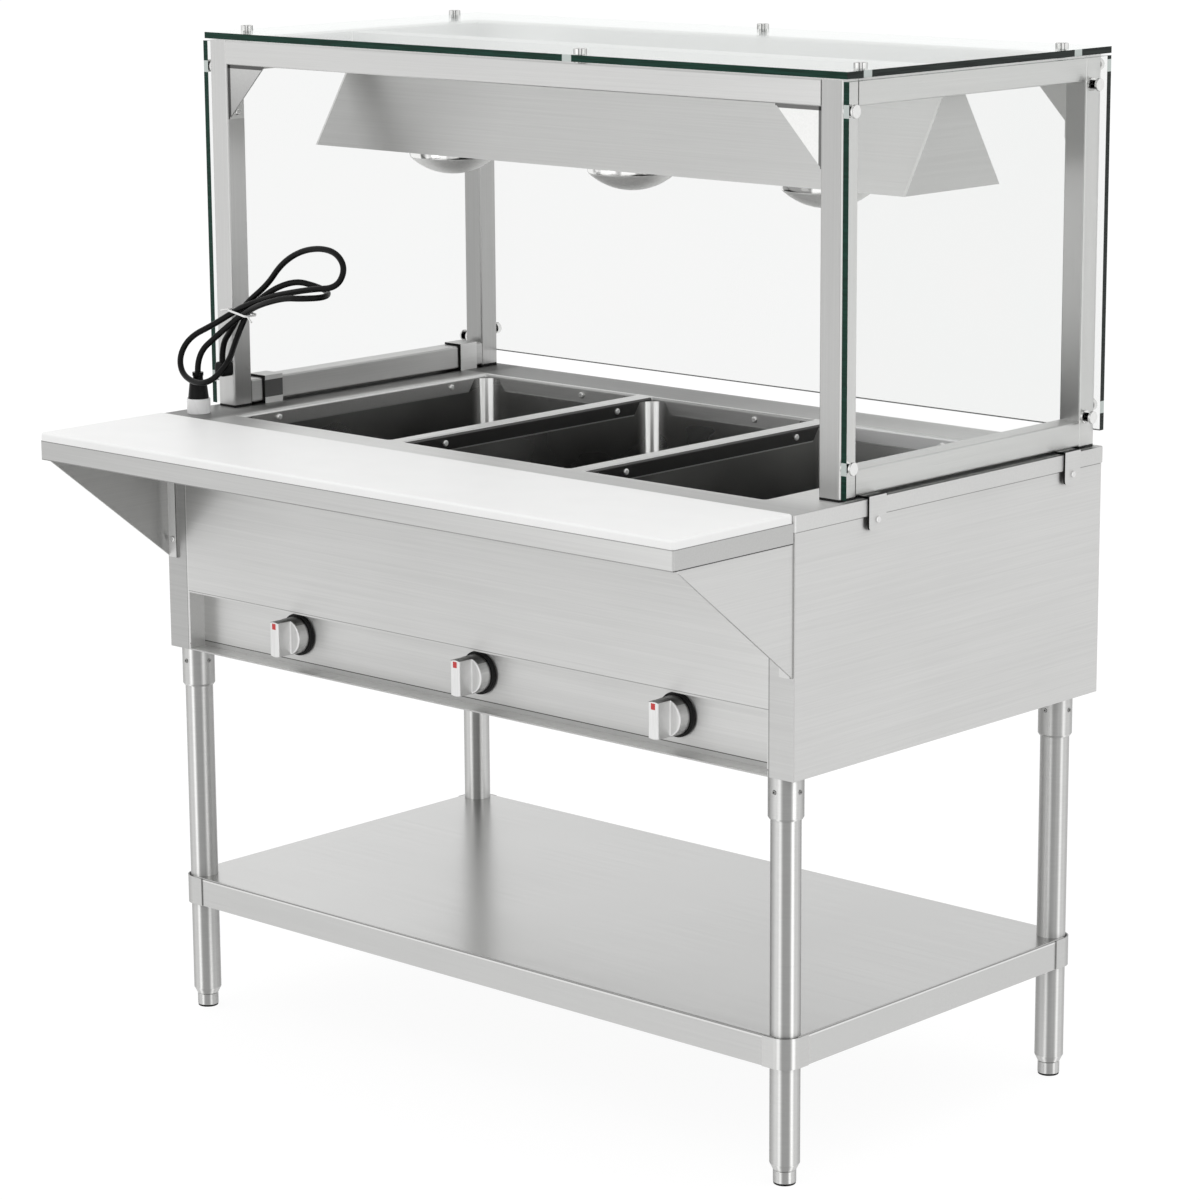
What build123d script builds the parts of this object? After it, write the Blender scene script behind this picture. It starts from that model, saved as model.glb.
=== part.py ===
# Three-well electric steam table with a cutting-board shelf, a glass guard and a heat-lamp hood.
# Millimetres. +Z is up, -Y is the operator's side with the knobs, +X is to the operator's right.
# The origin is on the floor, at the centre of the table's box.
import os
from math import atan2, ceil, cos, pi, sin, sqrt, tan

from build123d import *

# Sheet metal and fits
sheet = 2.0
fit_gap = 0.3
shaft_gap = 0.05
screw_r = 2.4
screw_hole_r = 2.8
screw_head_r = 4.6
screw_head_h = 2.6

# Deck and wells
deck_width = 1222.0
deck_top_z = 918.0
deck_overhang = 2.3
deck_lap = 3.0
deck_lip_height = 23.0
deck_corner_r = 5.0
well_count = 3
well_gap = 30.0
well_width = 320.0
well_length = 526.0
well_corner_r = 3.0
well_front_inset = 58.0
rim_width = 6.0
rim_height = 6.0
rim_round = 5.0
apron_height = 25.0
apron_thickness = 2.5
apron_gap = 0.5
apron_end_inset = 27.0
apron_end_slant = 13.0
well_depth = 190.0
liner_corner_r = 33.0
liner_flange = 6.0
liner_flange_corner_r = 6.0
well_screw_front = 82.0
well_screw_rear = 78.0
well_screw_rear_x = 45.0
well_screw_drop = 13.0

# Heating elements
element_r = 4.0
element_half_span = 70.0
element_bend_r = 45.0
element_height = 25.0
element_rear_gap = 45.0
element_tail = 18.0

# Cabinet
cabinet_depth = 672.0
cabinet_height = 354.0
stile_width = 42.7
recess_height = 90.0
recess_depth = 28.0

# Controls
knob_spread = 20.0
knob_offset_x = 14.0
knob_rise = 50.0
knob_r = 27.0
knob_skirt = 20.0
knob_edge_round = 2.5
grip_width = 18.0
grip_depth = 24.0
grip_round = 2.0
shaft_r = 3.0
shaft_length = 38.0
bezel_r = 31.0
bezel_gap = 0.6
bezel_thickness = 5.4
bezel_round = 1.5
switch_size = 42.0
switch_depth = 44.0
switch_round = 3.0
switch_gap = 0.4

# Cutting-board shelf
board_shelf_inset = 1.0
board_shelf_reach = 236.0
board_shelf_drop = 10.0
board_shelf_edge = 28.0
board_shelf_rear_gap = 4.0
board_shelf_corner_r = 3.0
board_corner_r = 5.0
board_thickness = 12.0
board_round = 4.0
bracket_sheet = 3.0
bracket_side_gap = 1.7
bracket_front_gap = 14.0
bracket_tip_drop = 216.0
bracket_front_drop = 42.0
bracket_flange = 18.0
bracket_screw_drops = (188.0, 48.0)

# Legs, feet and undershelf
leg_r = 20.65
leg_wall = 1.5
leg_side_inset = 32.7
leg_front_inset = 24.5
leg_rear_inset = 53.0
leg_bottom_z = 21.0
leg_taper_z = 30.0
leg_taper_r = 16.2
leg_plug_z = 46.0
socket_r = 24.2
socket_height = 58.0
socket_cap = 8.0
socket_bevel = 3.0
set_screw_r = 3.0
set_screw_drop = 19.0
set_screw_proud = 1.0
set_screw_key_r = 1.5
set_screw_key_depth = 2.2
foot_r = 15.7
foot_stem_r = 8.0
foot_stem_length = 54.0
foot_pad_height = 2.5
foot_pad_r = 15.2
shelf_top_z = 209.5
shelf_edge = 43.5
shelf_reach = 23.0
shelf_round = 2.0
collar_flat = 19.5
collar_drop = 0.5

# Glass guard
tube = 35.0
tube_wall = 1.5
tube_round = 3.0
post_side_inset = 11.5
post_front_inset = 101.0
post_rear_gap = 6.3
post_foot = 3.5
guard_height = 545.5
plug_insert = 20.0
plug_gap = 0.5
glass = 9.5
glass_gap = 3.5
glass_top_gap = 1.7
glass_top_side_inset = 2.0
glass_top_front_lap = 1.2
glass_top_rear_lap = 9.8
side_glass_front_lap = 1.0
side_glass_rear_inset = 7.7
side_glass_rise = 4.0
glass_head_gap = 1.5
rear_glass_side_inset = 3.5
rear_glass_rise = 22.0
rear_glass_gap = 2.3
glass_edge_round = 0.4
cap_r = 9.0
cap_height = 8.0
side_cap_height = 3.5
cap_round = 1.2
cap_bolt_r = 4.0
glass_hole_r = 6.0
bolt_hole_r = 4.4
bolt_reach = 6.0
side_cap_forward = 7.0
side_cap_rise = 41.2
side_cap_drop = 39.2
rear_cap_rise = 51.5
rear_cap_drop = 15.0
top_cap_front = 59.0
top_cap_rear = 33.7
top_cap_front_x = 130.0
top_cap_rear_x = 5.0
gusset_leg_x = 78.0
gusset_leg_z = 80.0
gusset_sheet = 2.5
gusset_inset = 3.0
gusset_flange = 28.0
gusset_screw_end = 10.0
clip_sheet = 3.0
clip_width = 36.0
clip_front = 63.0
clip_front_left = 76.5
clip_rear = 33.7
clip_drop = 43.0
clip_screw_drop = 29.0
clip_inner_gap = 0.5
clip_top_gap = 0.5
clip_short = 6.0
clip_round = 6.0

# Heat-lamp hood, its heights taken down from the top of the guard's frame
hood_sheet = 1.5
hood_offset_y = -2.5
hood_bottom_drop = 165.5
hood_bottom_half = 103.5
hood_neck_drop = 39.5
hood_neck_half = 25.0
hood_top_drop = 1.5
hood_end = 4.0
hood_end_round = 1.0
hood_screw_y = 14.0
lamp_spread = 12.0
lamp_offset_x = -13.0
bulb_bottom_drop = 204.5
bulb_r = 65.0
bulb_dome = 26.0
bulb_rim = 12.0
bulb_neck_r = 19.0
bulb_neck_drop = 79.5
bulb_base_r = 13.2
bulb_base_drop = 43.5
lamp_socket_r = 20.0
lamp_socket_drop = 71.5

# Supply cord: 9 mm, tied in a hank in front of the front left post, its plug stood on the deck.
# The route's points are from the post's outer front edge and the deck's top.
cord_r = 4.5
cord_bend_share = 0.45
cord_route = [
    (24, -13, 70), (24, -13, 96), (50, -16, 122), (72, -20, 145), (87, -20, 164),
    (120, -6, 193), (150, -6, 226), (189, -4, 248), (237, -7, 257), (275, -10, 252), (296, -15, 231),
    (284, -22, 204), (238, -27, 199), (168, -29, 185), (130, -27, 174), (92, -30, 161), (71, -30, 151),
    (42, -45, 131), (0, -55, 110), (-11, -67, 82), (5, -77, 57), (48, -87, 48), (85, -89, 56),
    (100, -69, 82), (79, -35, 109), (79, -19, 136), (95, -19, 158),
    (136, -13, 188), (168, 5, 202), (200, 13, 197), (232, 13, 190), (255, -18, 187), (237, -49, 187),
    (202, -48, 185), (158, -44, 174), (126, -37, 164), (97, -31, 152), (76, -31, 140),
    (55, -47, 118), (26, -64, 88), (26, -64, 61)]
gland_width = 21.0
gland_depth = 21.0
gland_height = 22.0
gland_round = 6.0
tie_centre = (83.5, -25.0, 151.0)
tie_angle = 80.0
tie_half_across = 19.5
tie_half_deep = 11.4
tie_corner_r = 3.0
tie_thickness = 1.0
tie_width = 3.0
tie_tail_r = 1.4
tie_tail_long = 16.0
tie_tail_short = 12.0
plug_cap_r = 17.5
plug_cap_height = 22.0
plug_cap_wall = 3.0
plug_cap_floor = 1.5
plug_r = 15.5
plug_shoulder_r = 12.9
plug_shoulder = 23.0
plug_neck_r = 7.5
plug_flange_r = 8.3
plug_flange = 5.0
prong_spacing = 12.7
prong_width = 6.3
prong_thickness = 1.5
prong_length = 16.0
ground_pin_r = 2.4
ground_pin_offset = 8.0

# Places that follow from the sizes above
deck_half = deck_width / 2
cabinet_half = deck_half - deck_overhang
post_rear_inset = cabinet_depth - post_rear_gap - tube
rear_glass_inner = cabinet_depth - post_rear_gap + rear_glass_gap
rear_reach = rear_glass_inner + glass + cap_height
front_y = (board_shelf_reach - rear_reach) / 2
deck_front_y = front_y - deck_lap
deck_rear_y = front_y + cabinet_depth + deck_lap
deck_under_z = deck_top_z - sheet
cabinet_bottom_z = deck_top_z - cabinet_height
well_pitch = well_width + well_gap
places = [k - (well_count - 1) / 2 for k in range(well_count)]
well_x = [k * well_pitch for k in places]
well_front_y = front_y + well_front_inset
well_rear_y = well_front_y + well_length
well_y = (well_front_y + well_rear_y) / 2
rim_bottom_z = deck_top_z - rim_height
liner_width = well_width + 2 * (apron_thickness + apron_gap)
liner_length = well_length + 2 * (apron_thickness + apron_gap)
liner_bottom_z = deck_top_z - well_depth
recess_half_width = cabinet_half - stile_width
recess_top_z = cabinet_bottom_z + recess_height
panel_y = front_y + recess_depth
knob_x = [k * (well_pitch + knob_spread) + knob_offset_x for k in places]
knob_z = cabinet_bottom_z + knob_rise
board_shelf_half = deck_half - board_shelf_inset
board_shelf_top_z = deck_top_z - board_shelf_drop
bracket_outer_x = cabinet_half - bracket_side_gap
bracket_inner_x = bracket_outer_x - bracket_sheet
leg_x = cabinet_half - leg_side_inset
leg_y = (front_y + leg_front_inset, front_y + cabinet_depth - leg_rear_inset)
leg_places = {"fl": (-leg_x, leg_y[0]), "fr": (leg_x, leg_y[0]),
              "rl": (-leg_x, leg_y[1]), "rr": (leg_x, leg_y[1])}
frame_top_z = deck_top_z + guard_height
post_outer_x = deck_half - post_side_inset
post_inner_x = post_outer_x - tube
post_x = post_outer_x - tube / 2
post_bottom_z = deck_top_z + post_foot
post_front_y = front_y + post_front_inset
post_rear_y = front_y + post_rear_inset
clip_y = (post_front_y + clip_front, post_rear_y - clip_rear)
clip_left_y = (post_front_y + clip_front_left, post_rear_y - clip_rear)
rail_bottom_z = frame_top_z - tube
glass_top_z = frame_top_z + glass_top_gap
glass_head_z = frame_top_z - glass_head_gap
side_glass_x = post_outer_x + glass_gap
rear_glass_y = front_y + rear_glass_inner
hood_y = (post_front_y + post_rear_y + tube) / 2 + hood_offset_y
hood_bottom_z = frame_top_z - hood_bottom_drop
hood_neck_z = frame_top_z - hood_neck_drop
hood_top_z = frame_top_z - hood_top_drop
lamp_x = [k * (well_pitch + lamp_spread) + lamp_offset_x for k in places]
bulb_bottom_z = frame_top_z - bulb_bottom_drop
bulb_neck_z = frame_top_z - bulb_neck_drop
bulb_base_z = frame_top_z - bulb_base_drop
lamp_socket_bottom_z = frame_top_z - lamp_socket_drop


# Plain building blocks
def block(x0, x1, y0, y1, z0, z1):
    """A box between two corners."""
    size = Box(abs(x1 - x0), abs(y1 - y0), abs(z1 - z0))
    return Pos((x0 + x1) / 2, (y0 + y1) / 2, (z0 + z1) / 2) * size


def rod(start, direction, radius, length):
    """A round bar from a start point along a direction."""
    return Plane(origin=start, z_dir=direction) * Cylinder(
        radius, length, align=(Align.CENTER, Align.CENTER, Align.MIN))


def turned(points, x, y):
    """A solid turned about the vertical through x, y from (radius, height) points."""
    outline = Plane.XZ * make_face(Polyline(*points, close=True))
    return Pos(x, y, 0) * revolve(outline, Axis.Z)


def slab(width, length, corner_r, z0, z1, x, y):
    """A flat plate with rounded corners, centred on x, y."""
    return Pos(x, y, z0) * extrude(RectangleRounded(width, length, corner_r), z1 - z0)


def along_x(points, x0, x1):
    """A closed outline of (y, z) points, drawn out from x0 to x1."""
    outline = Plane.YZ * make_face(Polyline(*points, close=True))
    return Pos(x0, 0, 0) * extrude(outline, x1 - x0)


def along_y(points, y0, y1):
    """A closed outline of (x, z) points, drawn out from y0 to y1."""
    outline = Plane.XZ * make_face(Polyline(*points, close=True))
    return Pos(0, y1, 0) * extrude(outline, y1 - y0)


def square_tube(start, direction, length):
    """A square tube with rounded edges from the centre of its end along a direction."""
    outline = RectangleRounded(tube, tube, tube_round)
    inside = tube - 2 * tube_wall
    hollow = RectangleRounded(inside, inside, tube_round - tube_wall)
    upright = (0, 0, 1) if abs(direction[2]) < 0.5 else (1, 0, 0)
    return extrude(Plane(origin=start, x_dir=upright, z_dir=direction) * (outline - hollow), length)


def screw(seat, outward, grip):
    """A pan-head screw: its seat under the head, the way out, and the length below the seat."""
    head = Cylinder(screw_head_r, screw_head_h, align=(Align.CENTER, Align.CENTER, Align.MIN))
    head = fillet(head.edges().group_by(Axis.Z)[-1], screw_head_h * 0.6)
    shank = Cylinder(screw_r, grip, align=(Align.CENTER, Align.CENTER, Align.MAX))
    return Plane(origin=seat, z_dir=outward) * (head + shank)


def screw_hole(seat, outward, grip):
    """The clearance hole that a screw of the same seat and grip goes through."""
    drill = Cylinder(screw_hole_r, grip + 1, align=(Align.CENTER, Align.CENTER, Align.MAX))
    return Plane(origin=seat, z_dir=outward) * drill


def group(solids):
    """Several separate solids kept as one node."""
    return Compound(children=[s for shape in solids for s in shape.solids()])


def mirrored(shape):
    """The same shape on the other side of the middle plane."""
    return mirror(shape, about=Plane.YZ)


# Deck and wells
def well_screws_of(x):
    """Seat, way out and grip of each screw through a well's aprons."""
    grip = apron_thickness + apron_gap + sheet + 2
    z = deck_top_z - well_screw_drop
    left = x - well_width / 2
    right = x + well_width / 2
    seats = []
    for y in (well_front_y + well_screw_front, well_rear_y - well_screw_rear):
        seats.append(((left, y, z), (1, 0, 0), grip))
        seats.append(((right, y, z), (-1, 0, 0), grip))
    seats.append(((x + well_screw_rear_x, well_rear_y, z), (0, -1, 0), grip))
    return seats


def clip_screw_seats():
    """Seat, way out and grip of the screw in each deck clip."""
    z = deck_top_z - clip_screw_drop
    outer = deck_half + clip_sheet
    grip = outer - cabinet_half + sheet + 2
    seats = []
    for y in clip_y:
        seats.append(((outer, y, z), (1, 0, 0), grip))
    for y in clip_left_y:
        seats.append(((-outer, y, z), (-1, 0, 0), grip))
    return seats


def apron_outline(middle, half):
    """Outline of an apron under one side of an opening, its ends cut on a slant."""
    low = deck_top_z - apron_height
    top_half = half - apron_end_inset
    low_half = top_half - apron_end_slant
    return [(middle - top_half, rim_bottom_z), (middle - low_half, low),
            (middle + low_half, low), (middle + top_half, rim_bottom_z)]


def make_deck():
    """Top sheet with a turned-down lip and three rimmed openings with aprons."""
    length = deck_rear_y - deck_front_y
    middle = (deck_rear_y + deck_front_y) / 2
    low = deck_top_z - deck_lip_height
    deck = slab(deck_width, length, deck_corner_r, low, deck_top_z, 0, middle)
    deck = fillet(deck.edges().group_by(Axis.Z)[-1], sheet * 0.9)
    inside = slab(deck_width - 2 * sheet, length - 2 * sheet, deck_corner_r - sheet,
                  low, deck_under_z, 0, middle)
    deck -= inside
    for x in well_x:
        rim = slab(well_width + 2 * rim_width, well_length + 2 * rim_width,
                   well_corner_r + rim_width, rim_bottom_z, deck_under_z, x, well_y)
        deck += rim
    for x in well_x:
        opening = slab(well_width, well_length, well_corner_r, rim_bottom_z, deck_top_z, x, well_y)
        deck -= opening
    half_l = well_length / 2
    half_w = well_width / 2
    edges = deck.edges().filter_by_position(Axis.Z, deck_top_z - 0.01, deck_top_z + 0.01)
    inner = [e for e in edges if abs(e.center().Y - well_y) <= half_l + 0.1
             and min(abs(e.center().X - x) for x in well_x) <= half_w + 0.1]
    deck = fillet(inner, rim_round)
    for x in well_x:
        deck += along_x(apron_outline(well_y, half_l), x - half_w - apron_thickness, x - half_w)
        deck += along_x(apron_outline(well_y, half_l), x + half_w, x + half_w + apron_thickness)
        deck += along_y(apron_outline(x, half_w), well_front_y - apron_thickness, well_front_y)
        deck += along_y(apron_outline(x, half_w), well_rear_y, well_rear_y + apron_thickness)
        for seat in well_screws_of(x):
            deck -= screw_hole(*seat)
    for seat in clip_screw_seats():
        deck -= screw_hole(*seat)
    return deck


def make_liner(x):
    """Open tub with a flange that hangs under one opening, with two holes for the element's tails."""
    outer = slab(liner_width + 2 * sheet, liner_length + 2 * sheet, liner_corner_r + sheet,
                 liner_bottom_z - sheet, rim_bottom_z, x, well_y)
    flange = 2 * (sheet + liner_flange)
    outer += slab(liner_width + flange, liner_length + flange, liner_flange_corner_r,
                  rim_bottom_z - sheet, rim_bottom_z, x, well_y)
    liner = outer - slab(liner_width, liner_length, liner_corner_r, liner_bottom_z, rim_bottom_z, x, well_y)
    for seat in well_screws_of(x):
        liner -= screw_hole(*seat)
    wall_y = well_y - liner_length / 2 - sheet - 1
    for side in (-1, 1):
        start = (x + side * element_half_span, wall_y, liner_bottom_z + element_height)
        liner -= rod(start, (0, 1, 0), element_r + fit_gap, sheet + 2)
    return liner


def make_element(x):
    """Bent tube heater that lies above the tub's floor, its two tails out through the front wall."""
    z = liner_bottom_z + element_height
    start_y = well_y - liner_length / 2 - sheet - element_tail
    end_y = well_y + liner_length / 2 - element_rear_gap
    left = x - element_half_span
    right = x + element_half_span
    path = FilletPolyline((left, start_y, z), (left, end_y, z), (right, end_y, z), (right, start_y, z),
                          radius=element_bend_r)
    section = Plane(origin=(left, start_y, z), z_dir=(0, 1, 0)) * Circle(element_r)
    return sweep(section, path)


# Cabinet
def bracket_screw_seats():
    """Seat, way out and grip of each screw through a shelf bracket into the front panel."""
    x = bracket_inner_x - bracket_flange / 2
    grip = bracket_sheet + sheet + 2
    seats = []
    for drop in bracket_screw_drops:
        z = deck_top_z - drop
        seats.append(((x, front_y - bracket_sheet, z), (0, -1, 0), grip))
        seats.append(((-x, front_y - bracket_sheet, z), (0, -1, 0), grip))
    return seats


def make_front_panel():
    """Front sheet with two stiles beside the control recess."""
    panel = block(-cabinet_half, cabinet_half, front_y, front_y + sheet, cabinet_bottom_z, deck_under_z)
    panel -= block(-recess_half_width, recess_half_width, front_y - 1, front_y + sheet + 1,
                   cabinet_bottom_z - 1, recess_top_z)
    for seat in bracket_screw_seats():
        panel -= screw_hole(*seat)
    return panel


def make_control_panel():
    """Shallow tray set in the recess, with a hole for each knob's shaft."""
    tray = block(-recess_half_width, recess_half_width, front_y, panel_y + sheet,
                 cabinet_bottom_z, recess_top_z)
    tray -= block(-recess_half_width + sheet, recess_half_width - sheet, front_y - 1, panel_y,
                  cabinet_bottom_z + sheet, recess_top_z - sheet)
    for x in knob_x:
        tray -= rod((x, panel_y - 1, knob_z), (0, 1, 0), shaft_r + shaft_gap, sheet + 2)
    return tray


def make_side_panel(side):
    """Side sheet, on the right for side 1 and on the left for side -1."""
    panel = block(side * (cabinet_half - sheet), side * cabinet_half, front_y + sheet,
                  front_y + cabinet_depth - sheet, cabinet_bottom_z, deck_under_z)
    for seat in clip_screw_seats():
        if seat[0][0] * side > 0:
            panel -= screw_hole(*seat)
    return panel


def make_rear_panel():
    """Rear sheet."""
    rear = front_y + cabinet_depth
    return block(-cabinet_half, cabinet_half, rear - sheet, rear, cabinet_bottom_z, deck_under_z)


def make_bottom_pan():
    """Sheet that closes the cabinet from below."""
    half = cabinet_half - sheet
    return block(-half, half, panel_y + sheet, front_y + cabinet_depth - sheet,
                 cabinet_bottom_z, cabinet_bottom_z + sheet)


# Controls
def make_knob(x):
    """Round knob with a raised grip bar, on its shaft."""
    back = panel_y - bezel_thickness - bezel_gap
    face = back - knob_skirt
    skirt = rod((x, back, knob_z), (0, -1, 0), knob_r, knob_skirt)
    skirt = fillet(skirt.edges().group_by(Axis.Y)[0], knob_edge_round)
    front = face - grip_depth
    grip = block(x - grip_width / 2, x + grip_width / 2, front, face + 1, knob_z - knob_r, knob_z + knob_r)
    grip &= rod((x, face + 2, knob_z), (0, -1, 0), knob_r - 0.5, grip_depth + 4)
    grip = fillet(grip.edges().group_by(Axis.Y)[0], grip_round)
    shaft = rod((x, back - 1, knob_z), (0, 1, 0), shaft_r, shaft_length + 1)
    return skirt + grip + shaft


def make_bezel(x):
    """Ring behind a knob."""
    ring = rod((x, panel_y, knob_z), (0, -1, 0), bezel_r, bezel_thickness)
    ring = fillet(ring.edges().group_by(Axis.Y)[0], bezel_round)
    return ring - rod((x, panel_y + 1, knob_z), (0, -1, 0), shaft_r + switch_gap, bezel_thickness + 2)


def make_switch(x):
    """Heat switch behind the panel, bored for the knob's shaft."""
    half = switch_size / 2
    back = panel_y + sheet
    body = block(x - half, x + half, back, back + switch_depth, knob_z - half, knob_z + half)
    body = fillet(body.edges().filter_by(Axis.Y), switch_round)
    return body - rod((x, back - 1, knob_z), (0, 1, 0), shaft_r + switch_gap, shaft_length)


# Cutting-board shelf
def make_board_shelf():
    """Shelf sheet with turned-down front and end edges."""
    half = board_shelf_half
    front = front_y - board_shelf_reach
    rear = front_y - board_shelf_rear_gap
    low = board_shelf_top_z - board_shelf_edge
    shelf = block(-half, half, front, rear, low, board_shelf_top_z)
    corners = [e for e in shelf.edges().filter_by(Axis.Z) if e.center().Y < front + 1]
    shelf = fillet(corners, board_shelf_corner_r)
    inside = block(-half + sheet, half - sheet, front + sheet, rear + 1, low - 1, board_shelf_top_z - sheet)
    inner = [e for e in inside.edges().filter_by(Axis.Z) if e.center().Y < front + sheet + 1]
    return shelf - fillet(inner, board_shelf_corner_r - sheet)


def make_board():
    """Cutting board that lies on the shelf."""
    half = board_shelf_half
    front = front_y - board_shelf_reach
    rear = front_y - board_shelf_rear_gap
    top = board_shelf_top_z + board_thickness
    board = block(-half, half, front, rear, board_shelf_top_z, top)
    board = fillet(board.edges().filter_by(Axis.Z), board_corner_r)
    return fillet(board.edges().group_by(Axis.Z)[-1], board_round)


def make_bracket():
    """Right three-cornered bracket with a flange on the cabinet and one under the shelf."""
    under = board_shelf_top_z - sheet
    step_z = deck_top_z - deck_lip_height - 2
    nose = front_y - board_shelf_reach + bracket_front_gap
    step_y = front_y - board_shelf_rear_gap - 1
    tip_z = deck_top_z - bracket_tip_drop
    outline = [(front_y, tip_z), (front_y, step_z), (step_y, step_z), (step_y, under),
               (nose, under), (nose, deck_top_z - bracket_front_drop)]
    bracket = along_x(outline, bracket_inner_x, bracket_outer_x)
    flange_x = bracket_inner_x - bracket_flange
    bracket += block(flange_x, bracket_inner_x, front_y - bracket_sheet, front_y, tip_z, step_z)
    bracket += block(flange_x, bracket_inner_x, nose, step_y, under - bracket_sheet, under)
    for seat in bracket_screw_seats():
        bracket -= screw_hole(*seat)
    return bracket


# Legs, feet and undershelf
def make_leg(x, y):
    """Round leg, drawn in at its foot and bored for the foot's stem."""
    bore = foot_stem_r + shaft_gap
    inner = leg_r - leg_wall
    top = cabinet_bottom_z - socket_cap - 0.5
    outline = [(bore, leg_bottom_z), (leg_taper_r, leg_bottom_z), (leg_r, leg_taper_z), (leg_r, top),
               (inner, top), (inner, leg_plug_z), (bore, leg_plug_z)]
    return turned(outline, x, y)


def set_screw_ways():
    """The two directions that a socket's set screws point."""
    return ((0, -1, 0), (1, 0, 0))


def make_socket(x, y):
    """Cup under the cabinet that holds a leg."""
    bore = leg_r + fit_gap
    low = cabinet_bottom_z - socket_height
    outline = [(bore, low), (socket_r - socket_bevel * 0.6, low), (socket_r, low + socket_bevel),
               (socket_r, cabinet_bottom_z), (0, cabinet_bottom_z), (0, cabinet_bottom_z - socket_cap),
               (bore, cabinet_bottom_z - socket_cap)]
    socket = turned(outline, x, y)
    z = cabinet_bottom_z - set_screw_drop
    for way in set_screw_ways():
        socket -= rod((x, y, z), way, set_screw_r + fit_gap, socket_r + 2)
    return socket


def make_set_screw(x, y, way):
    """Socket set screw that bears on the leg."""
    z = cabinet_bottom_z - set_screw_drop
    start = leg_r + shaft_gap
    length = socket_r + set_screw_proud - start
    body = rod((x + way[0] * start, y + way[1] * start, z), way, set_screw_r, length)
    tip = socket_r + set_screw_proud - set_screw_key_depth
    key = rod((x + way[0] * tip, y + way[1] * tip, z), way, set_screw_key_r, set_screw_key_depth + 1)
    return body - key


def make_foot(x, y):
    """Adjustable bullet foot with its stem."""
    low = foot_pad_height
    outline = [(0, low), (foot_r - 1, low), (foot_r, low + 1), (foot_r, leg_bottom_z - 1.5),
               (foot_r - 1.5, leg_bottom_z), (foot_stem_r, leg_bottom_z),
               (foot_stem_r, leg_bottom_z + foot_stem_length), (0, leg_bottom_z + foot_stem_length)]
    return turned(outline, x, y)


def make_foot_pad(x, y):
    """Rubber pad under a foot."""
    pad = Pos(x, y, foot_pad_height / 2) * Cylinder(foot_pad_r, foot_pad_height)
    return fillet(pad.edges().group_by(Axis.Z)[0], 1)


def make_undershelf():
    """Shelf sheet with turned-down edges, cut away at the legs."""
    half = leg_x + shelf_reach
    front = leg_y[0] - shelf_reach
    rear = leg_y[1] + shelf_reach
    low = shelf_top_z - shelf_edge
    shelf = block(-half, half, front, rear, low, shelf_top_z)
    shelf = fillet(shelf.edges().group_by(Axis.Z)[-1], shelf_round)
    shelf -= block(-half + sheet, half - sheet, front + sheet, rear - sheet, low - 1, shelf_top_z - sheet)
    for x, y in leg_places.values():
        side = 1 if x > 0 else -1
        end = 1 if y > 0 else -1
        corner_x = x + side * (shelf_reach + 1)
        corner_y = y + end * (shelf_reach + 1)
        shelf -= block(x, corner_x, y, corner_y, low - 1, shelf_top_z + 1)
        shelf -= rod((x, y, low - 1), (0, 0, 1), leg_r + fit_gap, shelf_edge + 2)
    return shelf


def make_collar(x, y):
    """Corner strap that wraps a leg and laps two shelf edges."""
    side = 1 if x > 0 else -1
    end = 1 if y > 0 else -1
    low = shelf_top_z - shelf_edge
    high = shelf_top_z - collar_drop
    outer = shelf_reach + sheet
    ring = rod((x, y, low), (0, 0, 1), outer, high - low)
    ring -= rod((x, y, low - 1), (0, 0, 1), shelf_reach, high - low + 2)
    ring &= block(x, x + side * outer * 2, y, y + end * outer * 2, low, high)
    ring += block(x, x - side * collar_flat, y + end * shelf_reach, y + end * outer, low, high)
    ring += block(x + side * shelf_reach, x + side * outer, y, y - end * collar_flat, low, high)
    return ring


# Glass guard
def side_caps():
    """Seat on the right post and way out of each cap that holds the right glass."""
    seats = []
    for y in (post_front_y + tube / 2 - side_cap_forward, post_rear_y + tube / 2 - side_cap_forward):
        for z in (post_bottom_z + side_cap_rise, frame_top_z - side_cap_drop):
            seats.append(((post_outer_x, y, z), (1, 0, 0)))
    return seats


def rear_caps():
    """Seat on the rear posts and way out of each cap that holds the rear glass."""
    y = post_rear_y + tube
    heights = (post_bottom_z + rear_cap_rise, frame_top_z - rear_cap_drop)
    return [((side * post_x, y, z), (0, 1, 0)) for side in (-1, 1) for z in heights]


def top_caps():
    """Seat on the top rails and way out of each cap that holds the top glass."""
    ends = (post_front_y + top_cap_front, post_rear_y - top_cap_rear)
    seats = [((side * post_x, y, frame_top_z), (0, 0, 1)) for side in (-1, 1) for y in ends]
    seats.append(((top_cap_front_x, post_front_y + tube / 2, frame_top_z), (0, 0, 1)))
    seats.append(((top_cap_rear_x, post_rear_y + tube / 2, frame_top_z), (0, 0, 1)))
    return seats


def make_cap(seat, way, gap, height):
    """Spacer, bolt and round cap that clamp a glass panel to the frame."""
    spacer = rod(seat, way, cap_r, gap)
    start = [seat[k] - way[k] * bolt_reach for k in range(3)]
    bolt = rod(start, way, cap_bolt_r, bolt_reach + gap + glass + 1)
    base = [seat[k] + way[k] * (gap + glass) for k in range(3)]
    head = Cylinder(cap_r, height, align=(Align.CENTER, Align.CENTER, Align.MIN))
    head = fillet(head.edges().group_by(Axis.Z)[-1], cap_round)
    return spacer + bolt + Plane(origin=base, z_dir=way) * head


def bolt_hole(seat, way, radius, depth):
    """A hole on a cap's axis, cut from outside its seat inwards."""
    start = [seat[k] + way[k] for k in range(3)]
    inward = [-way[k] for k in range(3)]
    return rod(start, inward, radius, depth + 1)


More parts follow.
